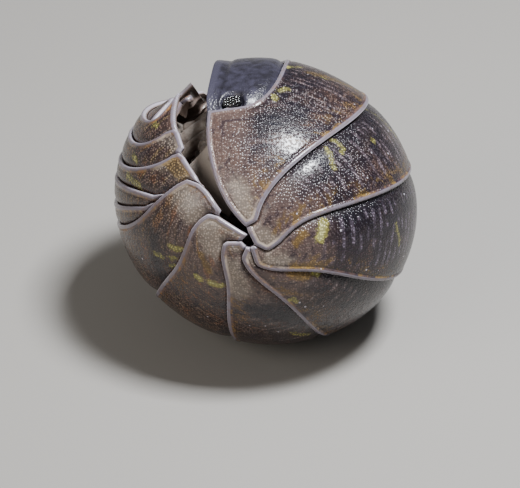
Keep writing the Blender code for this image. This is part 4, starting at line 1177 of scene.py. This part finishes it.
class WOODLOUSE_OT_skin(bpy.types.Operator):
    """Make the soft skin that closes the body inside the plates."""
    bl_idname = "woodlouse.skin"
    bl_label = "Soft skin"

    def execute(self, context):
        settings = context.scene.woodlouse_limbs
        # Leathery joint skin: to the eye it is a dull grey-brown with fine wrinkles.
        # Its colour is drawn lighter as painted light: light let through the shell into the shaded slit
        surface = clouded_material("soft_skin", settings.skin, settings.limb, 3.0, 0.01,
                                   {"Roughness": 0.5, "Subsurface Weight": 0.15})
        skin = slab("soft_skin", *SKIN_GRID, skin_shape, surface)
        ride(skin, "gill", *PLATES)
        return {"FINISHED"}


def add_light(name, power, colour, size, way, distance):
    """A square soft light that shines on the ball from a direction."""
    lamp = bpy.data.lights.new(name, "AREA")
    lamp.energy = power
    lamp.size = size
    lamp.color = colour
    thing = in_scene(name, lamp)
    thing.location = Vector(CENTRE * MM) + Vector(way).normalized() * distance
    thing.rotation_euler = Vector(way).to_track_quat("Z", "Y").to_euler()


class WOODLOUSE_OT_stage(bpy.types.Operator):
    """Make the floor, the lights and the camera."""
    bl_idname = "woodlouse.stage"
    bl_label = "Floor, lights and camera"

    def execute(self, context):
        settings = context.scene.woodlouse_stage
        # Matt card: to the eye it is even and pale, with no shine
        made, tree, shader = new_material("matt_card_floor")
        shader.inputs["Base Color"].default_value = (*settings.floor, 1.0)
        shader.inputs["Roughness"].default_value = 0.9
        bm = bmesh.new()
        bmesh.ops.create_grid(bm, x_segments=1, y_segments=1, size=FLOOR_HALF)
        finished("stage_floor", bm, made)
        add_light("main_light", settings.main_power, settings.main_colour, *MAIN_LIGHT)
        add_light("fill_light", settings.fill_power, settings.fill_colour, *FILL_LIGHT)
        world = bpy.data.worlds.new("soft_room")
        world.use_nodes = True
        room = world.node_tree.nodes["Background"]
        room.inputs["Color"].default_value = (*settings.room_colour, 1.0)
        room.inputs["Strength"].default_value = settings.room_strength
        context.scene.world = world
        camera = bpy.data.cameras.new("camera")
        camera.sensor_width = 36.0
        camera.lens = camera.sensor_width * settings.distance / (FRAME_WIDTH * MM)
        camera.clip_start, camera.clip_end = 0.005, 5.0
        eye = in_scene("camera", camera)
        up = Vector((0.0, math.sin(settings.elevation), math.cos(settings.elevation)))
        back = Vector((0.0, -math.cos(settings.elevation), math.sin(settings.elevation)))
        aim = Vector(CENTRE * MM) - Vector((FRAME_SHIFT[0] * MM, 0.0, 0.0)) - up * FRAME_SHIFT[1] * MM
        eye.location = aim + back * settings.distance
        eye.rotation_euler = (math.pi / 2 - settings.elevation, 0.0, 0.0)
        context.scene.camera = eye
        return {"FINISHED"}


OPERATORS = (WOODLOUSE_OT_plates, WOODLOUSE_OT_head, WOODLOUSE_OT_tail, WOODLOUSE_OT_limbs,
             WOODLOUSE_OT_gills, WOODLOUSE_OT_skin, WOODLOUSE_OT_stage)
GROUPS = {"woodlouse_shell": ShellSettings, "woodlouse_head": HeadSettings, "woodlouse_limbs": LimbSettings,
          "woodlouse_stage": StageSettings}


class WOODLOUSE_PT_panel(bpy.types.Panel):
    """Lists the steps that make the woodlouse."""
    bl_idname = "WOODLOUSE_PT_panel"
    bl_label = "Pill woodlouse"
    bl_space_type = "VIEW_3D"
    bl_region_type = "UI"
    bl_category = "Woodlouse"

    def draw(self, context):
        for step in OPERATORS:
            self.layout.operator(step.bl_idname, text=step.bl_label)
        for key, group in GROUPS.items():
            box = self.layout.box()
            for name in group.__annotations__:
                box.prop(getattr(context.scene, key), name)


def register():
    """Add the settings, the steps and the panel to Blender."""
    for group in GROUPS.values():
        bpy.utils.register_class(group)
    for key, group in GROUPS.items():
        setattr(bpy.types.Scene, key, bpy.props.PointerProperty(type=group))
    for step in (*OPERATORS, WOODLOUSE_PT_panel):
        bpy.utils.register_class(step)


def unregister():
    """Take them away again."""
    for step in (WOODLOUSE_PT_panel, *reversed(OPERATORS)):
        bpy.utils.unregister_class(step)
    for key, group in GROUPS.items():
        delattr(bpy.types.Scene, key)
        bpy.utils.unregister_class(group)


def main():
    """Run every step in order."""
    register()
    for step in OPERATORS:
        group, name = step.bl_idname.split(".")
        getattr(getattr(bpy.ops, group), name)()


if __name__ == "__main__":
    main()
